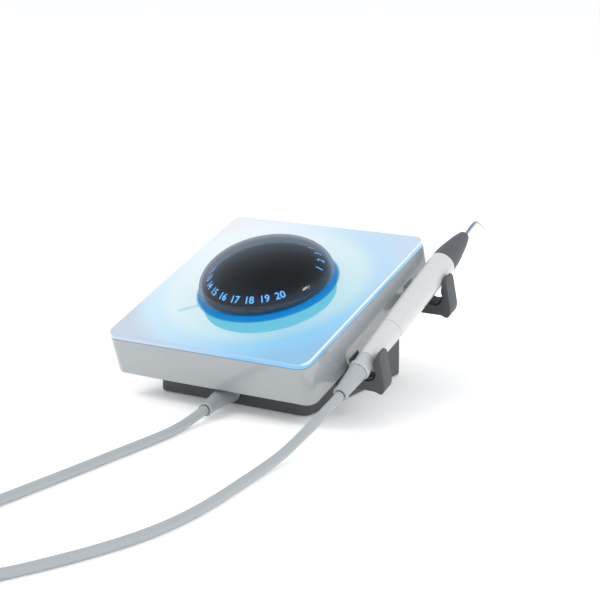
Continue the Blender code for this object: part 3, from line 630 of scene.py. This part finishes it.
def cut(item, cutters, operation="DIFFERENCE"):
    """Cuts the piece with each cutter and keeps the result as its mesh."""
    for tool in cutters:
        change = item.modifiers.new("cut", "BOOLEAN")
        change.operation = operation
        change.solver = "EXACT"
        change.object = tool
    apply_changes(item)
    for tool in cutters:
        bpy.data.objects.remove(tool, do_unlink=True)


def tool_block(width, depth, height, matrix):
    loops = [round_rectangle(width, depth, 0.5, z, 3) for z in (-height / 2, height / 2)]
    return loose("tool", *loft(loops), matrix)


def tool_rod(radius, length, matrix, steps=48):
    loops = []
    for height in (-length / 2, length / 2):
        turns = [2 * math.pi * index / steps for index in range(steps)]
        loops.append([(radius * math.cos(t), radius * math.sin(t), height) for t in turns])
    return loose("tool", *loft(loops), matrix)


def loose(name, vertices_mm, faces, matrix):
    """A shape still to be worked on, with no look or body yet."""
    mesh = mesh_of(name, vertices_mm, faces)
    turn_faces_out(mesh)
    return placed(name, mesh, matrix)


def soften(item, width, segments, angle):
    """Rounds the piece's sharp edges."""
    change = item.modifiers.new("soften", "BEVEL")
    change.width = width * MM
    change.segments = segments
    change.limit_method = "ANGLE"
    change.angle_limit = math.radians(angle)
    apply_changes(item)


def tube_skin(path_mm, radius, sides=20, radii=None):
    """Vertices and faces of a round tube along a path, its rings carried along without twist."""
    points = [Vector(p) for p in path_mm]
    tangents = []
    for index, point in enumerate(points):
        before, after = points[max(index - 1, 0)], points[min(index + 1, len(points) - 1)]
        tangents.append((after - before).normalized())
    side = tangents[0].orthogonal().normalized()
    loops = []
    for index, (point, tangent) in enumerate(zip(points, tangents)):
        side = (side - tangent * side.dot(tangent)).normalized()
        other = tangent.cross(side)
        size = radii[index] if radii else radius
        turns = [2 * math.pi * k / sides for k in range(sides)]
        loops.append([point + (side * math.cos(t) + other * math.sin(t)) * size for t in turns])
    return loft(loops)


def catmull(knots, per_span):
    """A centripetal Catmull-Rom curve through the knots."""
    knots = [Vector(k) for k in knots]
    knots = [knots[0] * 2 - knots[1], *knots, knots[-1] * 2 - knots[-2]]
    line = []
    for p0, p1, p2, p3 in zip(knots, knots[1:], knots[2:], knots[3:]):
        t1 = (p1 - p0).length ** 0.5
        t2 = t1 + (p2 - p1).length ** 0.5
        t3 = t2 + (p3 - p2).length ** 0.5
        for step in range(per_span):
            t = t1 + (t2 - t1) * step / per_span
            a1 = p0 * ((t1 - t) / t1) + p1 * (t / t1)
            a2 = p1 * ((t2 - t) / (t2 - t1)) + p2 * ((t - t1) / (t2 - t1))
            a3 = p2 * ((t3 - t) / (t3 - t2)) + p3 * ((t - t2) / (t3 - t2))
            b1 = a1 * ((t2 - t) / t2) + a2 * (t / t2)
            b2 = a2 * ((t3 - t) / (t3 - t1)) + a3 * ((t - t1) / (t3 - t1))
            line.append(b1 * ((t2 - t) / (t2 - t1)) + b2 * ((t - t1) / (t2 - t1)))
    line.append(knots[-2])
    return line


# ---------------------------------------------------------------- cord

CORD_RADIUS = 3.6
LIE = 2.6
COIL_CENTRE = (30.0, -455.0)
COIL_OUTER, COIL_INNER = 47.2, 32.8
CORD_PITCH = 2 * CORD_RADIUS
FRONT_ROUTE = (
    (6.46, -116.0, 6.77), (7.4, -126.0, 5.6), (8.3, -143.4, 3.4), (9.4, -164.0, LIE), (9.3, -182.5, LIE),
    (8.0, -215.5, LIE), (6.9, -247.2, LIE), (5.7, -277.5, LIE), (4.4, -305.4, LIE), (2.5, -336.0, LIE),
    (-3.0, -368.0, LIE), (-9.5, -396.0, LIE), (-13.8, -421.0, LIE),
)
HAND_ROUTE = (
    (107.0, -90.7, 27.4), (107.0, -98.0, 24.3), (107.0, -111.0, 20.2), (107.1, -124.7, 15.5),
    (107.2, -146.0, 9.6), (108.6, -169.0, 5.2), (111.0, -199.5, 3.0), (114.4, -229.7, LIE),
    (118.0, -259.9, LIE), (120.0, -295.0, LIE), (117.5, -330.0, LIE), (109.5, -365.0, LIE),
    (98.0, -398.0, LIE), (87.5, -422.0, LIE), (82.4, -437.0, 4.6),
)
INWARD_TURNS, CLIMB_END, OUTWARD_END, LAST_TURN = 2.0, 2.3, 4.3, 4.5


def coil_point(turn):
    """Where the coil's line is after so many turns: inwards on the table, up, and outwards on top."""
    if turn < INWARD_TURNS:
        radius, height = COIL_OUTER - CORD_PITCH * turn, LIE
    elif turn < CLIMB_END:
        share = (turn - INWARD_TURNS) / (CLIMB_END - INWARD_TURNS)
        radius, height = COIL_INNER, LIE + CORD_PITCH * share * share * (3 - 2 * share)
    elif turn < OUTWARD_END:
        radius, height = COIL_INNER + CORD_PITCH * (turn - CLIMB_END), LIE + CORD_PITCH
    else:
        share = (turn - OUTWARD_END) / (LAST_TURN - OUTWARD_END)
        radius, height = COIL_OUTER + 4.3 * share, LIE + CORD_PITCH - 1.2 * share
    angle = math.pi + 2 * math.pi * turn
    return (COIL_CENTRE[0] + radius * math.cos(angle), COIL_CENTRE[1] + radius * math.sin(angle), height)


def cord():
    turns = [coil_point(k / 24) for k in range(int(LAST_TURN * 24) + 1)]
    route = [*FRONT_ROUTE, *turns, *HAND_ROUTE[::-1]]
    path = catmull(route, 4)
    vertices, faces = tube_skin(path, CORD_RADIUS, 20)
    stands_for = ("cord_front", "cord_hand", "cord_coil")
    piece = made("cord", vertices, faces, "cord_grey", None, replaces=stands_for)
    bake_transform(piece)
    band = coil_tie()


def coil_tie():
    """The band that holds the coil together."""
    middle = (COIL_OUTER + COIL_INNER) / 2
    half_width = (COIL_OUTER - COIL_INNER) / 2 + CORD_RADIUS + 0.5
    low, high = -0.95, LIE + CORD_PITCH + CORD_RADIUS + 0.5
    centre_height = (low + high) / 2
    outline = round_rectangle(2 * half_width, high - low, 4.5, 0.0, 6)
    loops = []
    for x, z, _ in outline:
        inward = Vector((x, z)).normalized() * 0.8
        inner_x, inner_z = x - inward[0], z - inward[1]
        section = [(x, -4.0, z), (x, 4.0, z), (inner_x, 4.0, inner_z), (inner_x, -4.0, inner_z)]
        loops.append([(middle + a, b, centre_height + c) for a, b, c in section])
    vertices, faces = loft(loops, close=True)
    place = Matrix.Translation((COIL_CENTRE[0] * MM, COIL_CENTRE[1] * MM, 0)) @ Matrix.Rotation(
        math.radians(250), 4, "Z"
    )
    return made("cord_tie", vertices, faces, "rubber_black", CONSOLE, place)


# ---------------------------------------------------------------- dial

KNOB_RADIUS, KNOB_FOOT, KNOB_TOP, KNOB_LIP = 53.4, 5.0, 34.8, 8.6
CORE_RADIUS, CORE_FOOT, CORE_EDGE, CORE_TOP, CORE_POWER = 50.0, 6.8, 1.5, 28.8, 1.7
PLATE_TOP = 4.7
NUMBER_STEP, SHOWN_ANGLE, SHOWN_NUMBER = 15.79, -137.5, 14
NUMBER_RADIUS, NUMBER_HEIGHT = 43.6, 5.9
NUMBER_GLOW = 2.9  # the numbers shine through the smoked cover


def dome_line(radius, base, rise, power, steps):
    line = []
    for index in range(steps + 1):
        turn = math.pi / 2 * index / steps
        out = radius * math.sin(turn) ** (2 / power)
        up = base + (rise * math.cos(turn) ** (2 / power) if index < steps else 0)
        line.append((out, up))
    return line


def core_surface(radius):
    """The core's height and its upward slope towards the middle, at a distance from its axis."""
    rise = CORE_TOP - CORE_FOOT - CORE_EDGE
    share = max(1e-6, 1 - (radius / CORE_RADIUS) ** CORE_POWER)
    slope = rise / CORE_RADIUS * (radius / CORE_RADIUS) ** (CORE_POWER - 1) * share ** (1 / CORE_POWER - 1)
    return CORE_FOOT + CORE_EDGE + rise * share ** (1 / CORE_POWER), slope


def numeral_mesh(text, thicken_mm):
    """A flat number, its middle at the origin, as vertices in mm and faces."""
    data = bpy.data.curves.new("number", "FONT")
    data.body = text
    data.align_x = "CENTER"
    data.align_y = "CENTER"
    data.size = NUMBER_HEIGHT * 1.36
    data.offset = thicken_mm
    data.resolution_u = 6
    data.fill_mode = "FRONT"
    item = bpy.data.objects.new("number", data)
    bpy.context.collection.objects.link(item)
    bpy.context.view_layer.update()
    mesh = bpy.data.meshes.new_from_object(item.evaluated_get(bpy.context.evaluated_depsgraph_get()))
    vertices = [tuple(v.co) for v in mesh.vertices]
    faces = [tuple(p.vertices) for p in mesh.polygons]
    bpy.data.objects.remove(item, do_unlink=True)
    return vertices, faces


def numerals():
    layers = (
        ("halo_wide", 0.66, 0.10, srgb(0, 40, 84), 0.6),
        ("halo_middle", 0.44, 0.16, srgb(0, 66, 150), 0.75),
        ("halo_near", 0.22, 0.22, srgb(0, 108, 210), 0.8),
        ("bright", 0.0, 0.28, srgb(112, 200, 244), 1.25),
    )
    foreshortening = math.hypot(1, core_surface(NUMBER_RADIUS)[1])
    for name, thicken, lift, colour, strength in layers:
        vertices, faces = [], []
        for number in range(1, 21):
            angle = math.radians(SHOWN_ANGLE + (number - SHOWN_NUMBER) * NUMBER_STEP)
            flat, flat_faces = numeral_mesh(str(number), thicken)
            start = len(vertices)
            for a, b, _ in flat:
                radius = NUMBER_RADIUS - b / foreshortening
                height, slope = core_surface(radius)
                around = angle + a / NUMBER_RADIUS
                size = math.hypot(1, slope)
                radius += lift * slope / size
                height += lift / size
                vertices.append((radius * math.cos(around), radius * math.sin(around), height))
            faces += [tuple(start + k for k in face) for face in flat_faces]
        look = glowing("number_" + name, colour, strength * NUMBER_GLOW, 0.2)
        made("dial_numbers_" + name, vertices, faces, look, KNOB, DECK, slot="lit_blue")


def dial():
    outside = dome_line(KNOB_RADIUS, KNOB_LIP, KNOB_TOP - KNOB_LIP, 2.15, 64)
    inside = dome_line(KNOB_RADIUS - 2.2, KNOB_LIP, KNOB_TOP - 2.6 - KNOB_LIP, 2.15, 56)
    rim = [(KNOB_RADIUS - 0.15, 6.6), (KNOB_RADIUS - 0.6, KNOB_FOOT), (KNOB_RADIUS - 2.2, KNOB_FOOT)]
    lathe(
        "dial_cover", outside + rim + inside[::-1], "smoked_clear", KNOB, DECK, segments=160, fillet=0.3,
        replaces=("knob_cover",),
    )
    top = dome_line(CORE_RADIUS, CORE_FOOT + CORE_EDGE, CORE_TOP - CORE_FOOT - CORE_EDGE, CORE_POWER, 48)
    hollow = [(CORE_RADIUS - 0.6, CORE_FOOT), (CORE_RADIUS - 2.5, CORE_FOOT), (40, 16), (20, 22), (7, 23.5)]
    stem = [(7, 6.2), (5.4, 6.2), (5.4, 5.4), (3, 5.4), (3, -14), (0, -14)]
    lathe("dial_core", top + hollow + stem, "knob_black", KNOB, DECK, segments=128, replaces=("knob_core",))
    ring = [(46.5, 6.4), (50.6, 6.4), (51.0, 6.0), (51.0, PLATE_TOP + 0.3), (46.5, PLATE_TOP + 0.3)]
    lathe(
        "dial_light_ring", ring, "lit_blue", CONSOLE, DECK, ring=True, segments=128, fillet=0.2,
        replaces=("knob_light_ring",),
    )
    numerals()


def index_mark():
    """The fine outlined pointer on the plate that the dial's numbers are read against."""
    inner, outer = Vector((-36.6, -40.1)), Vector((-48.8, -51.8))
    along = (outer - inner).normalized()
    across = Vector((-along.y, along.x))
    half = 1.05
    outline = [inner + across * half]
    for step in range(9):
        turn = math.pi * step / 8
        outline.append(outer + across * (half * math.cos(turn)) + along * (half * math.sin(turn)))
    outline.append(inner - across * half)
    path = [(p.x, p.y, PLATE_TOP + 0.02) for p in outline]
    vertices, faces = tube_skin(path, 0.24, 10)
    look = glowing("mark_cyan", srgb(78, 188, 226), 0.85, 0.2)
    made("index_mark", vertices, faces, look, CONSOLE, DECK, slot="lit_blue")


# ---------------------------------------------------------------- casing, plate and base

CASE_WIDTH, CASE_DEPTH, CASE_HEIGHT, CASE_CORNER, CASE_WALL = 180.0, 190.0, 31.9, 9.0, 2.6
BASE_WIDTH, BASE_LENGTH, BASE_CORNER, BASE_WALL = 136.5, 145.5, 8.0, 2.6
REAR = BASE_LENGTH / 2
PORT_HEIGHT, FLOW_KNOB_HEIGHT, CORD_EXIT_HEIGHT = 22.0, 48.0, 10.6
INLET_X, SWITCH_X, SOCKET_X, WATER_X, FLOW_KNOB_X = -40, -10, 16, 50, 40


def quarter(inset, height, radius, start, end, steps=6):
    """Section points round a quarter circle centred at (inset, height), from one angle to the other."""
    points = []
    for step in range(steps + 1):
        turn = math.radians(start + (end - start) * step / steps)
        points.append((inset - radius * math.cos(turn), height + radius * math.sin(turn)))
    return points


def casing():
    bottom = [(6.0, -CASE_HEIGHT), *quarter(3.0, -CASE_HEIGHT + 3.0, 3.0, 270, 360)]
    section = [
        (CASE_WALL + 1.0, -29.3), (CASE_WALL, -28.3), (CASE_WALL, -0.5), (CASE_WALL - 0.4, 0.0), (0.5, 0.0),
        (0.15, -0.15), (0.0, -0.5), *bottom[::-1],
    ]
    walls = wall_loops(CASE_WIDTH, CASE_DEPTH, CASE_CORNER, section)
    made("casing", *loft(walls), "case_grey", CONSOLE, DECK, replaces=("casing_tray",))
    section = [
        (1.0, 0.3), (0.3, 0.45), (0.05, 0.8), *quarter(1.5, PLATE_TOP - 1.5, 1.5, 0, 90),
        (2.2, PLATE_TOP), (30.0, PLATE_TOP),
    ]
    walls = wall_loops(CASE_WIDTH, CASE_DEPTH, CASE_CORNER, section)
    made("lit_top_plate", *loft(walls), "plate_white", CONSOLE, DECK, replaces=("top_plate",))


def under_casing(y):
    """Height of the base's sloped top edge over the table, just under the casing."""
    slope = DECK.to_3x3() @ Vector((0, 1, 0))
    point = DECK @ (Vector((0, 0, -CASE_HEIGHT - 0.3)) * MM)
    return (point.z + (y * MM - point.y) * slope.z / slope.y) / MM


def base():
    def heights(y, z):
        return under_casing(y) + z - 100 if z > 50 else z

    section = [
        (BASE_WALL, 99.9), (BASE_WALL - 0.3, 100.0), (0.3, 100.0), (0.0, 99.7), (0.0, 1.2), (0.25, 0.4),
        (0.9, 0.0), (BASE_WALL - 0.3, 0.0), (BASE_WALL, 0.3),
    ]
    def through(x, y, z):
        return turned_at((x, y, z), (90, 0, 0))

    walls = wall_loops(BASE_WIDTH, BASE_LENGTH, BASE_CORNER, section)
    loops = [[(x, y, heights(y, z)) for x, y, z in loop] for loop in walls]
    item = loose("base", *loft(loops, close=True), WORLD)
    tools = [
        tool_block(28.0, 20.0, 8.0, through(INLET_X, REAR, PORT_HEIGHT)),
        tool_block(13.6, 19.6, 8.0, through(SWITCH_X, REAR, PORT_HEIGHT)),
        tool_rod(7.3, 8.0, through(SOCKET_X, REAR, PORT_HEIGHT)),
        tool_rod(5.3, 8.0, through(WATER_X, REAR, PORT_HEIGHT)),
        tool_rod(3.3, 8.0, through(FLOW_KNOB_X, REAR, FLOW_KNOB_HEIGHT)),
        tool_rod(6.6, 8.0, through(0, -REAR, CORD_EXIT_HEIGHT)),
    ]
    cut(item, tools)
    from_worked("base_body", item, "dark_grey", CONSOLE, replaces=("base_shell",), sharp=30)


def feet():
    for node in ("foot_front_left", "foot_front_right", "foot_rear_left", "foot_rear_right"):
        middle = centre(node)
        place = Matrix.Translation((middle.x, middle.y, -1.0 * MM))
        ribs = [
            (0, 1.5), (6.5, 1.5), (6.5, 0.4), (6.1, 0.0), (4.6, 0.0), (4.3, 0.25), (3.4, 0.25),
            (3.1, 0.0), (1.6, 0.0), (1.3, 0.25), (0, 0.25),
        ]
        lathe(node + "_pad", ribs, "rubber_black", CONSOLE, place, segments=64, fillet=0.12, replaces=(node,))


# ---------------------------------------------------------------- cradles

HAND_X, SEAT_BOTTOM, CRADLE_THICK = 107.0, -35.5, 12.0


def arc(middle, radius, start, end, steps):
    turns = [math.radians(start + (end - start) * k / steps) for k in range(steps + 1)]
    return [(middle[0] + radius * math.cos(t), middle[1] + radius * math.sin(t)) for t in turns]


def prism(outline, thickness, matrix):
    """A flat outline in x and y, given thickness from z = 0 upwards."""
    loops = [[(x, y, z) for x, y in outline] for z in (0.0, thickness)]
    return loose("prism", *loft(loops), matrix)


def cradle(name, front, left_top):
    seat = arc((HAND_X, SEAT_BOTTOM + 9.4), 9.4, 180, 360, 28)
    root = BASE_WIDTH / 2 + 0.3
    corners = [
        ((root, -43.7), 0), ((root, -CASE_HEIGHT - 0.3), 0), ((94.6, -CASE_HEIGHT - 0.3), 0.6),
        ((95.5, -30.6), 0.6), ((95.5, left_top - 1.0), 0.6), ((96.3, left_top), 0.5),
        ((97.1, left_top - 0.6), 0.4),
    ]
    right_side = [
        ((115.7, -22.5), 1.5), ((116.6, -19.0), 2.5), ((118.2, -14.5), 2.5), ((119.9, -10.4), 1.2),
        ((121.2, -9.0), 0.9), ((122.0, -10.0), 0.8), ((122.0, -38.0), 3.0), ((120.8, -42.2), 2.5),
        ((118.9, -45.0), 1.6), ((117.4, -45.6), 1.2), ((115.9, -45.2), 1.2), ((113.8, -44.2), 1.5),
        ((111.6, -43.7), 1.5),
    ]
    points = [p for p, _ in corners] + seat + [p for p, _ in right_side]
    radii = [r for _, r in corners] + [0.0] * len(seat) + [r for _, r in right_side]
    outline = [(p.x, p.y) for p in filleted(points, radii, 4, closed=True)]
    item = prism(outline, CRADLE_THICK, turned_at((0, front + CRADLE_THICK, 0), (90, 0, 0), DECK))
    half = CRADLE_THICK / 2
    side = [(-half - 1, -60), (-half - 1, -16.5), (-half - 0.02, -15.4)]
    side += arc((0, -9.0 - half), half + 0.02, 180, 0, 24)
    side += [(half + 0.02, -15.4), (half + 1, -16.5), (half + 1, -60)]
    tool = prism([(y, z) for y, z in side], 80, turned_at((60, front + half, 0), (90, 0, 90), DECK))
    cut(item, [tool], "INTERSECT")
    screw_back = front + CRADLE_THICK - 2.2
    recess = tool_rod(3.6, 6.0, turned_at((84, screw_back + 3.0, -38.2), (90, 0, 0), DECK), 40)
    cut(item, [recess])
    soften(item, 0.55, 3, 38.0)
    from_worked(name + "_hook", item, "cradle_grey", CONSOLE, replaces=(name,))


# ---------------------------------------------------------------- handpiece and strain reliefs

SEAM, CONE_SEAM, NOSE = -4.8, 83.8, 124.5
TIP_RADIUS, TAPER_FROM = 1.55, 0.45
TIP_KNOTS = (
    (0, 0.6, 112.3), (0, 0.7, 128.0), (0, 0.4, 138.0), (0, 1.0, 144.5), (0, 3.4, 148.6), (0, 8.0, 152.4),
    (0, 16.6, 158.4),
)


def smooth_profile(knots, per_span=6):
    return [(p.x, p.y) for p in catmull([(r, h, 0) for r, h in knots], per_span)]


def handpiece():
    outer = smooth_profile(
        [(10.45, CONE_SEAM - 1.0), (10.45, 77), (10.15, 58), (9.85, 34), (9.4, 8), (9.12, SEAM + 0.5)]
    )
    lathe(
        "handpiece_front_barrel",
        [(4.0, CONE_SEAM), (10.3, CONE_SEAM), (10.45, CONE_SEAM - 0.25), *outer, (9.0, SEAM + 0.15),
         (7.6, SEAM + 0.15), (8.0, 12), (8.0, 78), (4.0, 80)],
        "handpiece_white", HAND_BODY, HAND, ring=True, fillet=0.2, replaces=("front_barrel",),
    )
    outer = smooth_profile([(9.1, SEAM - 0.5), (8.6, -18), (8.0, -34), (7.6, -43.3)])
    lathe(
        "handpiece_rear_barrel",
        [(7.2, SEAM - 0.15), (9.0, SEAM - 0.15), *outer, (6.2, -43.5), (6.2, -34), (7.2, -16)],
        "handpiece_white", HAND_BODY, HAND, ring=True, fillet=0.2, replaces=("rear_barrel",),
    )
    outer = smooth_profile(
        [(4.3, NOSE - 1.2), (5.2, NOSE - 4.5), (6.6, NOSE - 10), (8.1, NOSE - 18.6), (9.3, NOSE - 26),
         (10.0, NOSE - 33), (10.35, CONE_SEAM + 0.8)]
    )
    lathe(
        "handpiece_nose_cone",
        [(2.8, NOSE), (3.3, NOSE), *outer, (10.2, CONE_SEAM + 0.3), (4.0, CONE_SEAM + 0.3), (4.0, NOSE - 12),
         (2.8, NOSE - 8)],
        "cone_grey", HAND_BODY, HAND, ring=True, fillet=0.5, replaces=("nose_cone",),
    )
    collar = smooth_profile(
        [(7.58, -43.7), (7.5, -47.0), (7.5, -50.4), (7.75, -52.4), (8.15, -53.9), (8.2, -55.2), (8.0, -56.4),
         (7.5, -57.1)], 5
    )
    lathe(
        "handpiece_collar", [(6.1, -43.7), *collar, (6.1, -57.2)], "collar_grey", HAND_BODY, HAND, ring=True,
        fillet=0.2, slot="cord_grey", replaces=("hand_collar",),
    )
    sleeve = smooth_profile([(7.35, -57.8), (7.05, -60), (6.3, -68), (5.4, -80.0)], 8)
    lathe(
        "handpiece_sleeve",
        [(3.75, -57.4), (7.1, -57.4), *sleeve, (5.3, -81.2), (5.65, -81.8), (5.7, -84.2), (5.3, -84.8),
         (3.75, -84.8)],
        "cord_grey", HAND_BODY, HAND, ring=True, fillet=0.3, replaces=("cord_boot_rear",),
    )
    path = catmull(TIP_KNOTS, 10)
    radii = []
    for index in range(len(path)):
        taper = max(0.0, index / (len(path) - 1) - TAPER_FROM) / (1 - TAPER_FROM)
        radii.append(TIP_RADIUS * (1.0 - 0.8 * taper ** 0.9))
    vertices, faces = tube_skin(path, TIP_RADIUS, 28, radii)
    made("steel_tip", vertices, faces, "steel", HAND_BODY, HAND, replaces=("scaling_tip",))
    thread_ring = [
        (1.7, NOSE + 0.7), (2.3, NOSE + 0.7), (2.65, NOSE + 0.35), (2.65, NOSE - 2.0), (1.7, NOSE - 2.0)
    ]
    place = HAND @ Matrix.Translation((0, 0.65 * MM, 0))
    lathe("tip_collar", thread_ring, "steel", HAND_BODY, place, ring=True, segments=48, fillet=0.15)


def front_strain_relief():
    sleeve = smooth_profile([(5.3, 40.2), (5.7, 30.0), (6.7, 18.0), (7.8, 8.0), (8.1, 5.6)], 6)
    lathe(
        "front_cord_sleeve",
        [(3.75, 43.5), (5.1, 43.5), (5.55, 43.0), (5.55, 41.0), *sleeve, (7.9, 5.0), (3.75, 5.0)],
        "cord_grey", CONSOLE, turned_at((0, -REAR, CORD_EXIT_HEIGHT), (95, 0, 8.5)), ring=True, fillet=0.3,
        replaces=("cord_boot_front",),
    )
    lathe(
        "front_cord_bush",
        [(4.4, 3.2), (8.6, 3.2), (9.4, 2.4), (9.4, 0.3), (6.2, 0.3), (6.2, -5.5), (4.4, -5.5)],
        "cord_grey", CONSOLE, turned_at((0, -REAR, CORD_EXIT_HEIGHT), (90, 0, 0)), ring=True, fillet=0.5,
        replaces=("cord_bush",),
    )
    neck = smooth_profile([(7.0, 5.4), (6.2, 4.3), (6.6, 3.0)], 4)
    lathe(
        "front_cord_neck", [(3.75, 5.6), *neck, (3.75, 2.6)], "cord_grey", CONSOLE,
        turned_at((0, -REAR, CORD_EXIT_HEIGHT), (93, 0, 4.0)), ring=True, fillet=0.2,
    )


# ---------------------------------------------------------------- rear panel

def rear_panel():
    outward = turned_at((0, 0, 0), (90, 0, 180))

    def at(x, z, y=REAR):
        """A frame on the rear wall: its x to the wall's left, its y up and its z outwards."""
        return Matrix.Translation(Vector((x, y, z)) * MM) @ outward

    body = [round_rectangle(27.4, 19.4, 1.2, z, 4) for z in (-22.0, 0.25)]
    body += [
        round_rectangle(36.0, 26.0, 3.5, 0.3, 4), round_rectangle(36.0, 26.0, 3.5, 1.7, 4),
        round_rectangle(35.2, 25.2, 3.2, 2.3, 4), round_rectangle(35.0, 25.0, 3.0, 2.5, 4),
    ]
    item = loose("inlet", *loft(body), at(INLET_X, PORT_HEIGHT))
    cavity = [round_rectangle(22.0, 15.0, 3.2, z, 4) for z in (-14.3, 6.0)]
    cut(item, [loose("tool", *loft(cavity), at(INLET_X, PORT_HEIGHT))])
    soften(item, 0.35, 2, 40)
    from_worked("mains_inlet_body", item, "black_plastic", CONSOLE, replaces=("mains_inlet",))
    for index, (x, z) in enumerate(((-7, -1.5), (0, 2.5), (7, -1.5))):
        levels = ((0, -14.3), (0, -7.6), (0.5, -7.0))
        pin = [round_rectangle(2.0 - 2 * inset, 4.0 - 2 * inset, 0.5, level, 3) for inset, level in levels]
        made(f"mains_pin_{index + 1}", *loft(pin), "brass", CONSOLE, at(INLET_X + x, PORT_HEIGHT + z))

    frame_loops = [round_rectangle(13.0, 19.0, 0.8, z, 4) for z in (-18.0, 0.25)]
    frame_loops += [
        round_rectangle(16.6, 22.6, 1.4, 0.3, 4), round_rectangle(16.6, 22.6, 1.4, 1.6, 4),
        round_rectangle(15.8, 21.8, 1.2, 2.3, 4),
    ]
    item = loose("switch", *loft(frame_loops), at(SWITCH_X, PORT_HEIGHT))
    well = [round_rectangle(10.6, 16.2, 0.5, z, 3) for z in (-10.8, 6.0)]
    cut(item, [loose("tool", *loft(well), at(SWITCH_X, PORT_HEIGHT))])
    soften(item, 0.25, 2, 40)
    from_worked("switch_housing", item, "black_plastic", CONSOLE, replaces=("switch_frame",))

    tilt = JOINTS["power_rocker_tilt"]
    width = 10.0
    hollow = arc((0, 15.2), 11.2, 236, 304, 16)
    outline = [(-7.0, 2.2), (-6.4, 5.6), *hollow, (6.4, 5.6), (7.0, 2.2), (0, -4.5)]
    outline = [(-y, x) for x, y in outline]
    pivot = Matrix.Translation(tilt["pos_m"]) @ turned_at((0, 0, 0), (90, 0, 90))
    item = prism(outline, width, turned_at((0, 0, -width / 2), (0, 0, 188), pivot))
    soften(item, 0.5, 3, 30)
    from_worked("switch_rocker", item, "black_plastic", ROCKER, replaces=("power_switch",))

    lathe(
        "pedal_socket_body",
        [(0, -7), (4.6, -7), (4.6, 2.2), (5.0, 2.8), (8.8, 2.8), (9.6, 2.1), (9.6, 0.3), (6.9, 0.3),
         (6.9, -14), (0, -14)],
        "black_plastic", CONSOLE, at(SOCKET_X, PORT_HEIGHT), segments=72, fillet=0.3,
        replaces=("pedal_socket",),
    )
    for index in range(4):
        turn = math.radians(45 + 90 * index)
        offset = (2.3 * math.cos(turn), 2.3 * math.sin(turn), 0)
        spot = turned_at(offset, (0, 0, 0), at(SOCKET_X, PORT_HEIGHT))
        pin = [(0, -1.8), (0.35, -1.9), (0.5, -2.2), (0.5, -7.2), (0, -7.2)]
        lathe(f"pedal_pin_{index + 1}", pin, "brass", CONSOLE, spot, segments=20, fillet=0.1)
    barbs = [(0, 15), (1.9, 15), (3.0, 11), (2.4, 11), (3.1, 7.6), (2.4, 7.4), (3.2, 5.2), (3.2, 4)]
    lathe(
        "water_inlet_fitting",
        barbs + [(6.4, 4), (7, 3.4), (7, 0.3), (5, 0.3), (5, -12), (2, -12), (2, -18), (0, -18)],
        "brass", CONSOLE, at(WATER_X, PORT_HEIGHT), segments=48, fillet=0.15, replaces=("water_inlet",),
    )
    knob_place = at(FLOW_KNOB_X, FLOW_KNOB_HEIGHT)
    ridges = 24
    loops = []
    for radius, height in ((8.4, 1.2), (8.3, 2.6), (7.9, 10.2), (7.7, 11.2), (7.1, 11.9), (6.0, 12.0)):
        loop = []
        for index in range(ridges * 4):
            turn = 2 * math.pi * index / (ridges * 4)
            cut_in = 0.28 * (0.5 - 0.5 * math.cos(turn * ridges)) if 2.0 < height < 11.5 else 0.0
            loop.append(((radius - cut_in) * math.cos(turn), (radius - cut_in) * math.sin(turn), height))
        loops.append(loop)
    made(
        "water_flow_knob", *loft(loops), "black_plastic", WATER, knob_place, replaces=("flow_knob",), sharp=50
    )
    pointer = [round_rectangle(0.9, 5.2, 0.4, h, 3) for h in (11.6, 12.05)]
    pointer_place = turned_at((0, 3.4, 0), (0, 0, 0), knob_place)
    made("water_knob_pointer", *loft(pointer), "diffuser_white", WATER, pointer_place)
    shaft = [(0, 1.6), (3.0, 1.6), (3.0, -7), (0, -7)]
    lathe("water_knob_shaft", shaft, "steel", WATER, knob_place, segments=40)


camera()
studio()
floor()
dress_cad_nodes()
cord()
casing()
base()
feet()
front_strain_relief()
cradle("cradle_front", -48.5, -17.2)
cradle("cradle_rear", 60.5, -19.5)
handpiece()
dial()
index_mark()
rear_panel()
